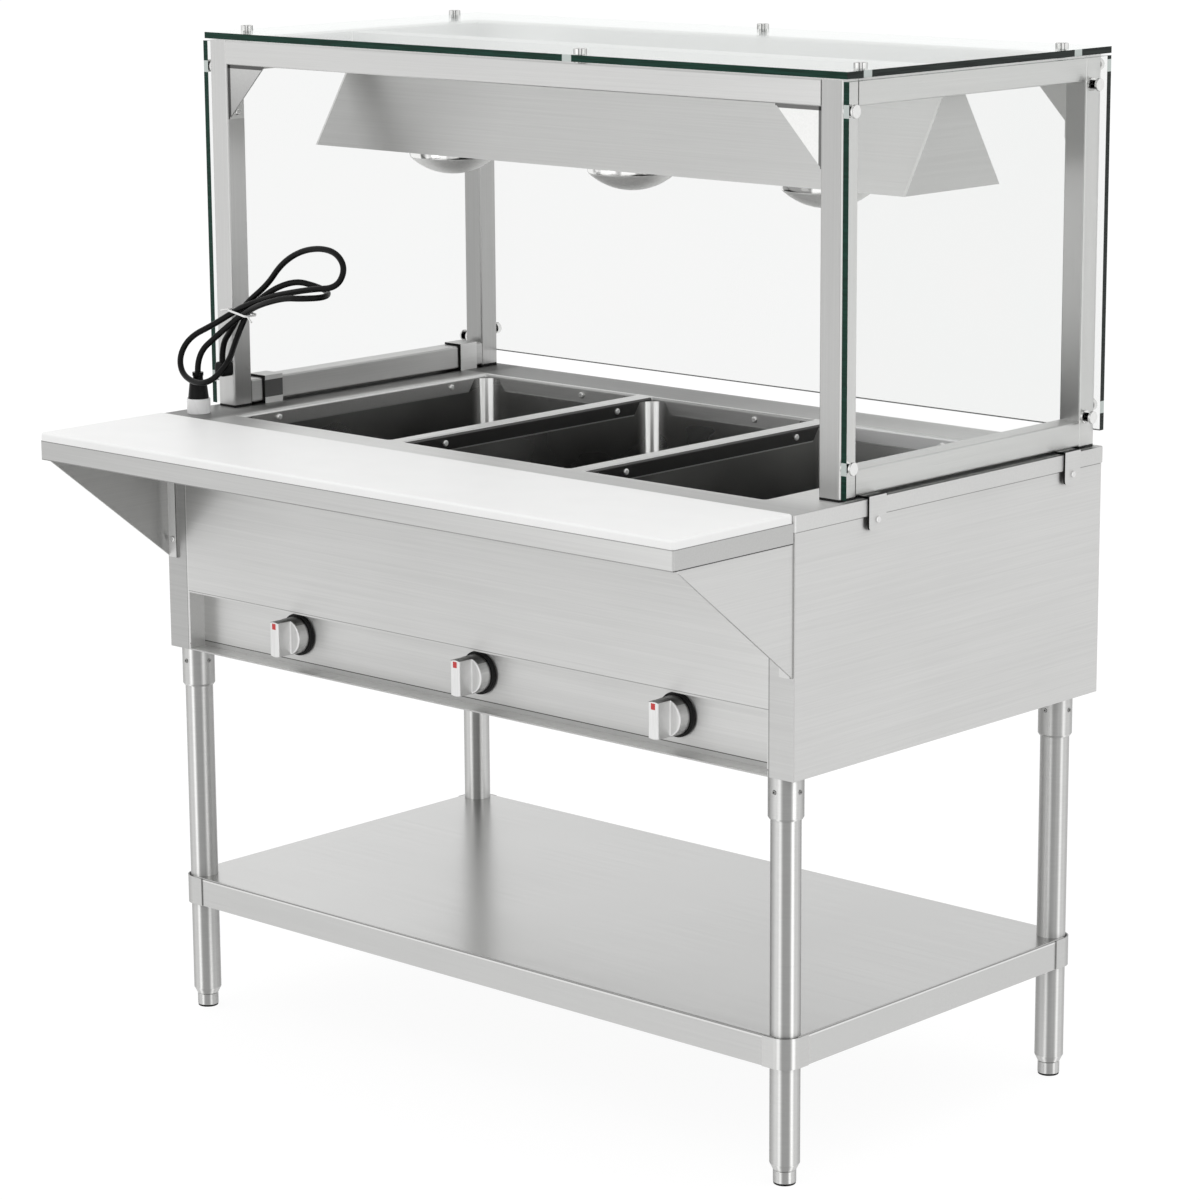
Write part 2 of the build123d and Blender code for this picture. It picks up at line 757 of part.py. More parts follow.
def gusset_screw_seats():
    """Seat, way out and grip of the screw from each gusset into its post."""
    z = rail_bottom_z - gusset_leg_z + gusset_screw_end
    x = post_inner_x - gusset_sheet
    grip = gusset_sheet + tube_wall + 3
    seats = []
    for y in (post_front_y + tube / 2, post_rear_y + tube / 2):
        seats.append(((x, y, z), (-1, 0, 0), grip))
        seats.append(((-x, y, z), (1, 0, 0), grip))
    return seats


def hood_screw_seats():
    """Seat, way out and grip of each screw from the hood's ends into the side rails."""
    x = post_inner_x - hood_end
    z = rail_bottom_z + tube / 2
    grip = hood_end + tube_wall + 3
    seats = []
    for y in (hood_y - hood_screw_y, hood_y + hood_screw_y):
        seats.append(((x, y, z), (-1, 0, 0), grip))
        seats.append(((-x, y, z), (1, 0, 0), grip))
    return seats


def make_guard_side():
    """Right welded frame: two posts with closed tops, a top rail and a bottom rail."""
    frame = None
    for y in (post_front_y, post_rear_y):
        post = square_tube((post_x, y + tube / 2, post_bottom_z), (0, 0, 1), frame_top_z - post_bottom_z)
        lid = slab(tube - tube_wall, tube - tube_wall, tube_round - tube_wall / 2,
                   frame_top_z - sheet, frame_top_z, post_x, y + tube / 2)
        post = post + lid
        frame = post if frame is None else frame + post
    span = post_rear_y - post_front_y - tube
    for z in (frame_top_z - tube / 2, post_bottom_z + tube / 2):
        frame += square_tube((post_x, post_front_y + tube, z), (0, 1, 0), span)
    for seat, way in side_caps() + rear_caps() + top_caps():
        if seat[0] > post_inner_x:
            frame -= bolt_hole(seat, way, bolt_hole_r, bolt_reach + 1)
    for seat in gusset_screw_seats() + hood_screw_seats():
        frame -= screw_hole(*seat)
    return frame


def make_guard_rail(y):
    """Top rail between the two side frames."""
    rail = square_tube((-post_inner_x, y + tube / 2, frame_top_z - tube / 2), (1, 0, 0), 2 * post_inner_x)
    for seat, way in top_caps():
        if abs(seat[1] - y - tube / 2) < 1:
            rail -= bolt_hole(seat, way, bolt_hole_r, bolt_reach + 1)
    return rail


def make_post_plug(x, y):
    """Plastic plug in the lower end of a post, which stands on the deck."""
    inside = tube - 2 * tube_wall - 2 * plug_gap
    sole = slab(tube, tube, tube_round, deck_top_z, post_bottom_z, x, y)
    return sole + slab(inside, inside, 1.0, post_bottom_z, post_bottom_z + plug_insert, x, y)


def make_gusset():
    """Front right three-cornered gusset under the top rail, with flanges on the post and the rail."""
    web_y = post_front_y + gusset_inset
    inner = post_inner_x
    low = rail_bottom_z - gusset_leg_z
    corners = [(inner, rail_bottom_z), (inner - gusset_leg_x, rail_bottom_z), (inner, low)]
    outline = Plane(origin=(0, web_y, 0), x_dir=(1, 0, 0), z_dir=(0, -1, 0)) * make_face(
        Polyline(*corners, close=True))
    gusset = extrude(outline, -gusset_sheet)
    gusset += block(inner - gusset_sheet, inner, web_y, web_y + gusset_flange, low, rail_bottom_z)
    gusset += block(inner - gusset_leg_x, inner, web_y, web_y + gusset_flange,
                    rail_bottom_z - gusset_sheet, rail_bottom_z)
    for seat in gusset_screw_seats():
        gusset -= screw_hole(*seat)
    return gusset


def make_clip(y, hooked):
    """Right strap up the bottom rail's inner side, under the rail and down over the deck's lip."""
    web_top = deck_top_z + clip_sheet
    outer = deck_half + clip_sheet
    wall = post_inner_x - clip_inner_gap
    hook_z = post_bottom_z + tube + clip_top_gap
    y0 = y - clip_width / 2
    y1 = y + clip_width / 2
    clip = block(wall - clip_sheet, outer, y0, y1, deck_top_z, web_top)
    tab = block(deck_half, outer, y0, y1, deck_top_z - clip_drop, web_top)
    low = [e for e in tab.edges().filter_by(Axis.X) if e.center().Z < deck_top_z]
    clip += fillet(low, clip_round)
    if hooked:
        clip += block(wall - clip_sheet, wall, y0, y1, deck_top_z, hook_z + clip_sheet)
        clip += block(wall - clip_sheet, post_outer_x - tube_round, y0, y1, hook_z, hook_z + clip_sheet)
    else:
        clip += block(wall - clip_sheet, wall, y0, y1, deck_top_z, hook_z - clip_short)
    seat = (outer, y, deck_top_z - clip_screw_drop)
    return clip - screw_hole(seat, (1, 0, 0), clip_sheet + 1)


def make_glass_top():
    """Top glass panel with a hole at each cap."""
    front = post_front_y - glass_top_front_lap
    rear = post_rear_y + tube + glass_top_rear_lap
    half = deck_half - glass_top_side_inset
    panel = block(-half, half, front, rear, glass_top_z, glass_top_z + glass)
    panel = fillet(panel.edges(), glass_edge_round)
    for seat, way in top_caps():
        panel -= rod(seat, way, glass_hole_r, glass_top_gap + glass + 2)
    return panel


def make_glass_side():
    """Right glass panel with a hole at each cap."""
    front = post_front_y - side_glass_front_lap
    rear = post_rear_y + tube - side_glass_rear_inset
    low = deck_top_z + side_glass_rise
    panel = block(side_glass_x, side_glass_x + glass, front, rear, low, glass_head_z)
    panel = fillet(panel.edges(), glass_edge_round)
    for seat, way in side_caps():
        panel -= rod(seat, way, glass_hole_r, glass_gap + glass + 2)
    return panel


def make_glass_rear():
    """Rear glass panel with a hole at each cap."""
    half = deck_half - rear_glass_side_inset
    low = deck_top_z + rear_glass_rise
    panel = block(-half, half, rear_glass_y, rear_glass_y + glass, low, glass_head_z)
    panel = fillet(panel.edges(), glass_edge_round)
    for seat, way in rear_caps():
        panel -= rod(seat, way, glass_hole_r, rear_glass_gap + glass + 2)
    return panel


# Heat-lamp hood
def hood_outline(skin, low):
    """Half-open hood section of (y, z) points, drawn in by a skin and reaching down to a height."""
    run = hood_bottom_half - hood_neck_half
    rise = hood_neck_z - hood_bottom_z
    slope = run / rise
    across = skin * sqrt(1 + slope ** 2)
    neck = hood_neck_half - skin
    bend_z = hood_neck_z + (skin - across) / slope
    wide = hood_bottom_half - across + (hood_bottom_z - low) * slope
    top = hood_top_z - skin
    right = [(neck, top), (neck, bend_z), (wide, low)]
    left = [(-y, z) for y, z in reversed(right)]
    return [(hood_y + y, z) for y, z in right + left]


def make_hood():
    """Folded hood sheet, open below."""
    half = post_inner_x - hood_end
    shell = along_x(hood_outline(0, hood_bottom_z), -half, half)
    return shell - along_x(hood_outline(hood_sheet, hood_bottom_z - 5), -half - 1, half + 1)


def make_hood_end():
    """Right end plate of the hood, fixed to the side rail."""
    plate = along_x(hood_outline(0, hood_bottom_z), post_inner_x - hood_end, post_inner_x)
    plate = fillet(plate.faces().sort_by(Axis.X)[-1].edges(), hood_end_round)
    for seat in hood_screw_seats():
        plate -= screw_hole(*seat)
    return plate


def make_lamp_socket(x):
    """Lamp socket under the hood's top."""
    bore = bulb_base_r + fit_gap
    top = hood_top_z - hood_sheet
    outline = [(bore, lamp_socket_bottom_z), (lamp_socket_r, lamp_socket_bottom_z), (lamp_socket_r, top),
               (0, top), (0, bulb_base_z + 2), (bore, bulb_base_z + 2)]
    return turned(outline, x, hood_y)


def make_bulb(x):
    """Reflector heat bulb: a domed face, a drawn-in body and a screw base."""
    dome_z = bulb_bottom_z + bulb_dome
    rim_z = dome_z + bulb_rim
    dome_r = (bulb_r ** 2 + bulb_dome ** 2) / (2 * bulb_dome)
    half = (bulb_r / dome_r)
    mid = (dome_r * sin(0.5 * atan2(half, sqrt(1 - half ** 2))),
           bulb_bottom_z + dome_r * (1 - cos(0.5 * atan2(half, sqrt(1 - half ** 2)))))
    lines = ThreePointArc((0, bulb_bottom_z), mid, (bulb_r - 1.5, dome_z - 1.2))
    lines += ThreePointArc((bulb_r - 1.5, dome_z - 1.2), (bulb_r, dome_z + 2), (bulb_r - 0.5, rim_z))
    lines += Spline((bulb_r - 0.5, rim_z), (bulb_r * 0.66, rim_z + 46), (bulb_neck_r, bulb_neck_z),
                    tangents=[(-0.25, 1), (-0.2, 1)])
    lines += Polyline((bulb_neck_r, bulb_neck_z), (bulb_base_r, bulb_neck_z + 8), (bulb_base_r, bulb_base_z),
                      (0, bulb_base_z), (0, bulb_bottom_z))
    outline = Plane.XZ * make_face(lines)
    return Pos(x, hood_y, 0) * revolve(outline, Axis.Z)


# Supply cord
def cord_point(place):
    """A point of the cord's route in the table's frame."""
    return Vector(place[0] - post_outer_x, place[1] + post_front_y, place[2] + deck_top_z)


def make_cord():
    """One unbroken tube of straight runs and tangent arcs, with its length, bends and least gap printed."""
    points = [cord_point(place) for place in cord_route]
    radii = []
    for before, here, after in zip(points, points[1:], points[2:]):
        turn = (here - before).get_angle(after - here) * pi / 180
        run = min((here - before).length, (after - here).length)
        radii.append(cord_bend_share * run / tan(turn / 2))
    path = FilletPolyline(*points, radius=radii)
    start = points[0]
    tube_solid = sweep(Plane(origin=start, z_dir=points[1] - start) * Circle(cord_r), path)
    print("cord length", round(path.length, 1), "bend radii", [round(r, 1) for r in radii])
    print("cord volume over section times length", tube_solid.volume / (pi * cord_r ** 2 * path.length))
    count = ceil(path.length / 4)
    step = path.length / count
    samples = [path.position_at(k / count) for k in range(count + 1)]
    apart = ceil(10 * cord_r / step)
    gaps = [(samples[j] - samples[i]).length for i in range(count) for j in range(i + apart, count + 1)]
    print("cord least gap between strands", round(min(gaps) - 2 * cord_r, 2))
    return tube_solid


def make_gland():
    """Strain relief on the front left post, with the cord out of its top."""
    top = cord_point(cord_route[0])
    x0 = top.X - gland_width / 2 - 1.5
    block_solid = block(x0, x0 + gland_width, post_front_y - gland_depth, post_front_y,
                        top.Z - gland_height, top.Z)
    rounded = [e for e in block_solid.edges() if e.center().Y < post_front_y - 1]
    return fillet(rounded, gland_round)


def make_tie():
    """Band round the waist of the hank, with two loose ends."""
    centre = cord_point(tie_centre)
    turn = tie_angle * pi / 180
    along = Vector(cos(turn), 0, sin(turn))
    across = Vector(-sin(turn), 0, cos(turn))
    wide = 2 * (tie_half_across + tie_thickness)
    deep = 2 * (tie_half_deep + tie_thickness)
    outer = RectangleRounded(wide, deep, tie_corner_r + tie_thickness)
    inner = RectangleRounded(2 * tie_half_across, 2 * tie_half_deep, tie_corner_r)
    start = Plane(origin=centre - along * (tie_width / 2), x_dir=across, z_dir=along)
    band = extrude(start * (outer - inner), tie_width)
    edge = across * (tie_half_across + 1.5 * tie_thickness)
    front = Vector(0, -tie_half_deep + tie_corner_r, 0)
    band += rod(centre + edge + front, (-0.98, 0, -0.19), tie_tail_r, tie_tail_long)
    band += rod(centre - edge + front, (0.75, 0, -0.66), tie_tail_r, tie_tail_short)
    return band


def make_plug():
    """Moulded plug that stands on its prong cover, with two blades and a ground pin below."""
    top = cord_point(cord_route[-1])
    base = deck_top_z + plug_cap_height
    shoulder = base + plug_shoulder
    outline = [(0, base), (plug_r, base), (plug_shoulder_r, shoulder), (plug_neck_r, shoulder + 5),
               (plug_neck_r, top.Z - plug_flange - 1), (plug_flange_r, top.Z - plug_flange),
               (plug_flange_r, top.Z),
               (0, top.Z)]
    plug = turned(outline, top.X, top.Y)
    for side in (-1, 1):
        x = top.X + side * prong_spacing / 2
        plug += block(x - prong_thickness / 2, x + prong_thickness / 2, top.Y - prong_width - 1, top.Y - 1,
                      base - prong_length, base)
    pin = rod((top.X, top.Y + ground_pin_offset, base - prong_length), (0, 0, 1), ground_pin_r, prong_length)
    return plug + pin


def make_plug_cap():
    """Clear cup that covers the plug's prongs."""
    top = cord_point(cord_route[-1])
    high = deck_top_z + plug_cap_height
    inner = plug_cap_r - plug_cap_wall
    outline = [(0, deck_top_z), (plug_cap_r, deck_top_z), (plug_cap_r, high), (inner, high),
               (inner, deck_top_z + plug_cap_floor), (0, deck_top_z + plug_cap_floor)]
    return turned(outline, top.X, top.Y)


# Every node by name
nodes = {"deck_top": make_deck(), "front_panel": make_front_panel(), "control_panel": make_control_panel(),
         "side_panel_right": make_side_panel(1), "side_panel_left": make_side_panel(-1),
         "rear_panel": make_rear_panel(), "bottom_pan": make_bottom_pan()}
for k, x in enumerate(well_x):
    nodes[f"well_liner_{k + 1}"] = make_liner(x)
nodes["heating_elements"] = group([make_element(x) for x in well_x])
nodes["well_screws"] = group([screw(*seat) for x in well_x for seat in well_screws_of(x)])
for k, x in enumerate(knob_x):
    nodes[f"knob_{k + 1}"] = make_knob(x)
nodes["knob_bezels"] = group([make_bezel(x) for x in knob_x])
nodes["control_switches"] = group([make_switch(x) for x in knob_x])
nodes["board_shelf"] = make_board_shelf()
nodes["cutting_board"] = make_board()
bracket_right = make_bracket()
nodes["board_bracket_right"] = bracket_right
nodes["board_bracket_left"] = mirrored(bracket_right)
nodes["bracket_screws"] = group([screw(*seat) for seat in bracket_screw_seats()])
for place, (x, y) in leg_places.items():
    nodes[f"leg_{place}"] = make_leg(x, y)
    nodes[f"foot_{place}"] = make_foot(x, y)
    nodes[f"foot_pad_{place}"] = make_foot_pad(x, y)
nodes["leg_sockets"] = group([make_socket(x, y) for x, y in leg_places.values()])
nodes["socket_set_screws"] = group([make_set_screw(x, y, way) for x, y in leg_places.values()
                                    for way in set_screw_ways()])
nodes["undershelf"] = make_undershelf()
nodes["shelf_collars"] = group([make_collar(x, y) for x, y in leg_places.values()])
nodes["guard_side_right"] = make_guard_side()
nodes["guard_side_left"] = mirrored(nodes["guard_side_right"])
nodes["guard_rail_front"] = make_guard_rail(post_front_y)
nodes["guard_rail_rear"] = make_guard_rail(post_rear_y)
nodes["post_plugs"] = group([make_post_plug(side * post_x, y + tube / 2) for side in (-1, 1)
                             for y in (post_front_y, post_rear_y)])
gusset = make_gusset()
guard_middle = Plane.XZ.offset(-(post_front_y + post_rear_y + tube) / 2)
right_gussets = [gusset, mirror(gusset, about=guard_middle)]
nodes["guard_gussets"] = group(right_gussets + [mirrored(g) for g in right_gussets])
right_clips = [make_clip(y, False) for y in clip_y]
left_clips = [mirrored(make_clip(y, True)) for y in clip_left_y]
nodes["deck_clips"] = group(right_clips + left_clips)
nodes["guard_screws"] = group([screw(*seat) for seat in
                               clip_screw_seats() + gusset_screw_seats() + hood_screw_seats()])
nodes["glass_top"] = make_glass_top()
nodes["glass_right"] = make_glass_side()
nodes["glass_left"] = mirrored(nodes["glass_right"])
nodes["glass_rear"] = make_glass_rear()
right_caps = [make_cap(seat, way, glass_gap, side_cap_height) for seat, way in side_caps()]
nodes["glass_caps"] = group(right_caps + [mirrored(c) for c in right_caps]
                            + [make_cap(seat, way, rear_glass_gap, cap_height) for seat, way in rear_caps()]
                            + [make_cap(seat, way, glass_top_gap, cap_height) for seat, way in top_caps()])
nodes["lamp_hood"] = make_hood()
hood_end_right = make_hood_end()
nodes["hood_ends"] = group([hood_end_right, mirrored(hood_end_right)])
nodes["lamp_sockets"] = group([make_lamp_socket(x) for x in lamp_x])
nodes["lamp_bulbs"] = group([make_bulb(x) for x in lamp_x])

nodes["cord"] = make_cord()
nodes["cord_gland"] = make_gland()
nodes["cord_tie"] = make_tie()
nodes["plug"] = make_plug()
nodes["plug_cap"] = make_plug_cap()

os.makedirs("parts", exist_ok=True)
for name, shape in nodes.items():
    export_step(shape, f"parts/{name}.step")
print(len(nodes), "nodes")
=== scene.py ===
import math
import bpy
from mathutils import Matrix, Vector


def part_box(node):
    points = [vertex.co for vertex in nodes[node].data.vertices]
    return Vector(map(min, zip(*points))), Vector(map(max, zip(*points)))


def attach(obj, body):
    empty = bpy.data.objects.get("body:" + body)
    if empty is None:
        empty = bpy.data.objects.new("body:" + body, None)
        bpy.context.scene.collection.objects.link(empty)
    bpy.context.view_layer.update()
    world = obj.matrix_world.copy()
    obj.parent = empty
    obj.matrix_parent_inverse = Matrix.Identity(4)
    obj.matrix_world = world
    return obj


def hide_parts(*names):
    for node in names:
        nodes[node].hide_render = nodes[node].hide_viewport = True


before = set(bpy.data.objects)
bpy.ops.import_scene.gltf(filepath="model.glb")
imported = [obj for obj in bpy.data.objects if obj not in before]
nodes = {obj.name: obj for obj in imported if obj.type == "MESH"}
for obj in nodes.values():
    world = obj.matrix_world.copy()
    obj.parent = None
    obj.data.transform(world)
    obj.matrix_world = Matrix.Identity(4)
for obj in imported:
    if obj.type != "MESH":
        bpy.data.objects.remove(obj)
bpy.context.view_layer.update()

scene = bpy.context.scene
scene.view_settings.view_transform = "Standard"


# Camera at the photograph's place
camera_place = Vector((3.7303, -3.97935, 1.8644))
camera_azimuth = math.radians(42.67)
camera_elevation = math.radians(-12.22)
camera_roll = math.radians(-0.36)
camera_lens = 116.52

ahead = Vector((-math.sin(camera_azimuth) * math.cos(camera_elevation),
                math.cos(camera_azimuth) * math.cos(camera_elevation),
                math.sin(camera_elevation)))
right = Vector((math.cos(camera_azimuth), math.sin(camera_azimuth), 0))
up = right.cross(ahead)
rolled_right = right * math.cos(camera_roll) + up * math.sin(camera_roll)
rolled_up = up * math.cos(camera_roll) - right * math.sin(camera_roll)
camera_data = bpy.data.cameras.new("camera")
camera_data.lens = camera_lens
camera_data.sensor_width = 36
camera_data.clip_end = 100
camera = bpy.data.objects.new("camera", camera_data)
scene.collection.objects.link(camera)
turn = Matrix((rolled_right, rolled_up, -ahead)).transposed()
camera.matrix_world = Matrix.Translation(camera_place) @ turn.to_4x4()
scene.camera = camera


# Node helpers for the materials
class Tree:
    """A material's nodes, with its surface shader in shader."""

    def __init__(self, name):
        self.material = bpy.data.materials.new(name)
        self.material.use_nodes = True
        self.nodes = self.material.node_tree.nodes
        self.links = self.material.node_tree.links
        self.shader = self.nodes["Principled BSDF"]
        self.output = self.nodes["Material Output"]

    def put(self, socket, value):
        if isinstance(value, bpy.types.NodeSocket):
            self.links.new(value, socket)
        elif isinstance(value, (tuple, list)) and socket.type == "RGBA" and len(value) == 3:
            socket.default_value = (*value, 1)
        else:
            socket.default_value = value

    def node(self, kind, settings=None, **sockets):
        made = self.nodes.new(kind)
        for key, value in (settings or {}).items():
            setattr(made, key, value)
        for key, value in sockets.items():
            self.put(made.inputs[key], value)
        return made

    def math(self, operation, first, second=0.0, clamp=False):
        made = self.node("ShaderNodeMath", {"operation": operation, "use_clamp": clamp})
        self.put(made.inputs[0], first)
        self.put(made.inputs[1], second)
        return made.outputs[0]

    def spread(self, value, low, high, to_low, to_high):
        made = self.node("ShaderNodeMapRange")
        for place, number in enumerate((value, low, high, to_low, to_high)):
            self.put(made.inputs[place], number)
        return made.outputs[0]

    def blend(self, share, first, second):
        made = self.node("ShaderNodeMix", {"data_type": "RGBA"})
        self.put(made.inputs[0], share)
        self.put(made.inputs[6], first)
        self.put(made.inputs[7], second)
        return made.outputs[2]

    def dimmed(self, colour, mask, factor):
        """The colour times a factor, where a mask is 1."""
        made = self.node("ShaderNodeMix", {"data_type": "RGBA", "blend_type": "MULTIPLY"})
        self.put(made.inputs[0], mask)
        self.put(made.inputs[6], colour)
        self.put(made.inputs[7], (factor, factor, factor))
        return made.outputs[2]

    def facing(self, axis, sign):
        """1 where the surface faces along an axis, which is 0 to 2 for x to z."""
        normal = self.node("ShaderNodeNewGeometry").outputs["Normal"]
        part = self.node("ShaderNodeSeparateXYZ", None, Vector=normal).outputs[axis]
        return self.math("GREATER_THAN", self.math("MULTIPLY", part, sign), 0.7)

    def both(self, first, *others):
        """1 where all masks are 1."""
        for other in others:
            first = self.math("MULTIPLY", first, other)
        return first

    def opposite(self, mask):
        return self.math("SUBTRACT", 1.0, mask)

    def slant(self):
        """How far the surface turns to the photograph's left (-1) or right (1)."""
        made = self.node("ShaderNodeVectorMath", {"operation": "DOT_PRODUCT"})
        self.put(made.inputs[0], self.node("ShaderNodeNewGeometry").outputs["Normal"])
        self.put(made.inputs[1], tuple(right))
        return made.outputs["Value"]

    def where(self):
        return self.node("ShaderNodeTexCoord").outputs["Object"]

    def axes(self):
        return self.node("ShaderNodeSeparateXYZ", None, Vector=self.where()).outputs

    def noise(self, scale, detail=3.0, roughness=0.55):
        stretched = self.node("ShaderNodeMapping", None, Vector=self.where(), Scale=scale)
        made = self.node("ShaderNodeTexNoise", None, Vector=stretched.outputs[0], Scale=1.0,
                         Detail=detail, Roughness=roughness)
        return made.outputs[0]

    def bump(self, height, strength, distance):
        made = self.node("ShaderNodeBump", None, Height=height, Strength=strength, Distance=distance)
        self.put(self.shader.inputs["Normal"], made.outputs[0])

    def finish(self, **sockets):
        for key, value in sockets.items():
            self.put(self.shader.inputs[key.replace("_", " ")], value)
        return self.material


def between(tree, value, low, high):
    above = tree.math("GREATER_THAN", value, low)
    below = tree.math("LESS_THAN", value, high)
    return tree.math("MULTIPLY", above, below)


along_scale = {"x": (3.0, 420.0, 420.0), "y": (420.0, 3.0, 420.0), "z": (420.0, 420.0, 3.0),
               "round": (40.0, 40.0, 600.0)}
fine_scale = {"x": (14.0, 1900.0, 1900.0), "y": (1900.0, 14.0, 1900.0), "z": (1900.0, 1900.0, 14.0),
              "round": (90.0, 90.0, 2200.0)}
axis_line = {"x": (1.0, 0.0, 0.0), "y": (0.0, 1.0, 0.0), "z": (0.0, 0.0, 1.0)}
bent_edge = {"x": (0.0, 0.02, 0.0), "y": (0.02, 0.0, 0.0), "z": (0.02, 0.0, 0.0)}


def across(tree, grain):
    """The direction across the brushed lines, along which a reflection is drawn out."""
    if grain == "round":
        return tree.node("ShaderNodeCombineXYZ", None, X=0.02, Z=1.0).outputs[0]
    made = tree.node("ShaderNodeVectorMath", {"operation": "CROSS_PRODUCT"})
    tree.put(made.inputs[0], tree.node("ShaderNodeNewGeometry").outputs["Normal"])
    tree.put(made.inputs[1], axis_line[grain])
    whole = tree.node("ShaderNodeVectorMath", {"operation": "ADD"})
    tree.put(whole.inputs[0], made.outputs[0])
    tree.put(whole.inputs[1], bent_edge[grain])
    return whole.outputs[0]


def grain_lines(tree, grain):
    broad = tree.math("MULTIPLY", tree.noise(along_scale[grain]), 0.6)
    narrow = tree.math("MULTIPLY", tree.noise(fine_scale[grain], 2.0), 0.4)
    return tree.math("ADD", broad, narrow)


def steel_finish(tree, lines, tangent, tone, roughness, contrast, drawn_out, painted_light):
    clouds = tree.noise((2.2, 2.2, 2.2), 2.0)
    shade = tree.math("ADD", lines, tree.math("MULTIPLY", clouds, 0.35))
    dark = tuple(c * (1 - contrast) for c in tone)
    light = tuple(min(1.0, c * (1 + contrast)) for c in tone)
    colour = tree.blend(tree.spread(shade, 0.4, 0.95, 0, 1), dark, light)
    # Shade and highlights painted into the colour at the places given
    for mask, factor in painted_light(tree):
        colour = tree.dimmed(colour, mask, factor)
    rough = tree.spread(shade, 0.4, 0.95, roughness + 0.05, roughness - 0.04)
    tree.bump(lines, 0.06, 0.0003)
    return tree.finish(Base_Color=colour, Roughness=rough, Metallic=1.0, Anisotropic=drawn_out,
                       Tangent=tangent)


def nowhere(tree):
    return []


def brushed_steel(name, grain, tone, roughness, contrast=0.06, drawn_out=0.8, painted_light=nowhere):
    """Satin steel with lines along one axis, broad soft marks, a roughness that follows the lines, and
    shade and highlights painted into the colour at the places given.
    """
    tree = Tree(name)
    lines = grain_lines(tree, grain)
    return steel_finish(tree, lines, across(tree, grain), tone, roughness, contrast, drawn_out, painted_light)


def shelf_sides(tree):
    """The shelf's turned-down edges painted darker, a painted shade line and a painted highlight along
    their fold, painted shade lines beside the collars, and its rear painted darker."""
    x, y, z = tree.axes()
    sides = tree.opposite(tree.facing(2, 1))
    fold_shade_line = between(tree, z, shelf_top - fold_middle, shelf_top - fold_start)
    fold_highlight = between(tree, z, shelf_top - fold_end, shelf_top - fold_middle)
    beside = between(tree, tree.math("ABSOLUTE", x), collar_end_x - collar_line, collar_end_x)
    for place in collar_ends_y:
        beside = tree.math("ADD", beside, between(tree, y, place - collar_line, place))
    far_shade = tree.spread(tree.math("ADD", x, y), -0.6, 0.4, 0, 1)
    return [(sides, 0.92), (tree.both(sides, fold_shade_line), 0.5), (tree.both(sides, fold_highlight), 1.3),
            (tree.both(sides, beside), 0.55), (tree.both(far_shade, tree.opposite(sides)), 0.86)]


def front_painted_light(tree):
    """Painted light and shade on the front panel: a painted highlight and painted shade lines where it
    meets its stiles, a painted shade line where it meets the recess, stiles painted darker, and a painted
    soft shadow below the board shelf at the left."""
    x, _, z = tree.axes()
    distance = tree.math("ABSOLUTE", x)
    over_recess = tree.both(between(tree, z, recess_top - recess_line_below, recess_top + recess_line_above),
                            tree.math("LESS_THAN", distance, stile_line))
    aside = tree.math("DIVIDE", tree.math("ADD", x, stile_line), shadow_width)
    below = tree.math("DIVIDE", tree.math("SUBTRACT", board_rest, z), shadow_height)
    corner = tree.spread(tree.math("ADD", aside, below), 0.6, 1.2, 1, 0)
    left_stile = tree.math("LESS_THAN", x, -stile_line)
    right_stile = tree.math("GREATER_THAN", x, stile_line)
    left_glint = between(tree, x, -stile_line - stile_glint, -stile_line)
    left_shade = between(tree, x, -stile_line - stile_shade, -stile_line - stile_glint)
    right_shade = between(tree, x, stile_line, stile_line + right_stile_shade)
    return [(tree.both(corner, tree.math("GREATER_THAN", x, -stile_line)), 0.72), (left_stile, 0.74),
            (right_stile, 0.88), (left_glint, 1.5), (left_shade, 0.6), (right_shade, 0.5),
            (over_recess, 0.55)]


def recess_foot(tree):
    """The ledge at the foot of the recess painted lighter, painted shade on the upright face above it, and
    a painted shade line at the fold above that.
    """
    z = tree.axes()[2]
    upright = tree.facing(1, -1)
    below = tree.math("LESS_THAN", z, ledge_fold_low)
    fold = between(tree, z, ledge_fold_low, ledge_fold_high)
    return [(tree.facing(2, 1), 1.3), (tree.both(upright, below), 0.8), (tree.both(upright, fold), 0.22)]


def board_shelf_edge(tree):
    """The shelf's edges in painted shade, darker to the left and at the ends, and painted shadow lines
    above and below them.
    """
    x, _, z = tree.axes()
    sides = tree.opposite(tree.facing(2, 1))
    ends = tree.facing(0, 1)
    foot = tree.math("LESS_THAN", z, board_edge_low + board_foot_line)
    return [(sides, 0.94), (tree.both(sides, tree.spread(x, -0.6, 0.3, 1, 0)), 0.87), (ends, 0.84),
            (tree.both(sides, foot), 0.55), (tree.both(ends, foot), 0.3),
            (between(tree, z, board_rest - board_top_line, board_rest), 0.5)]


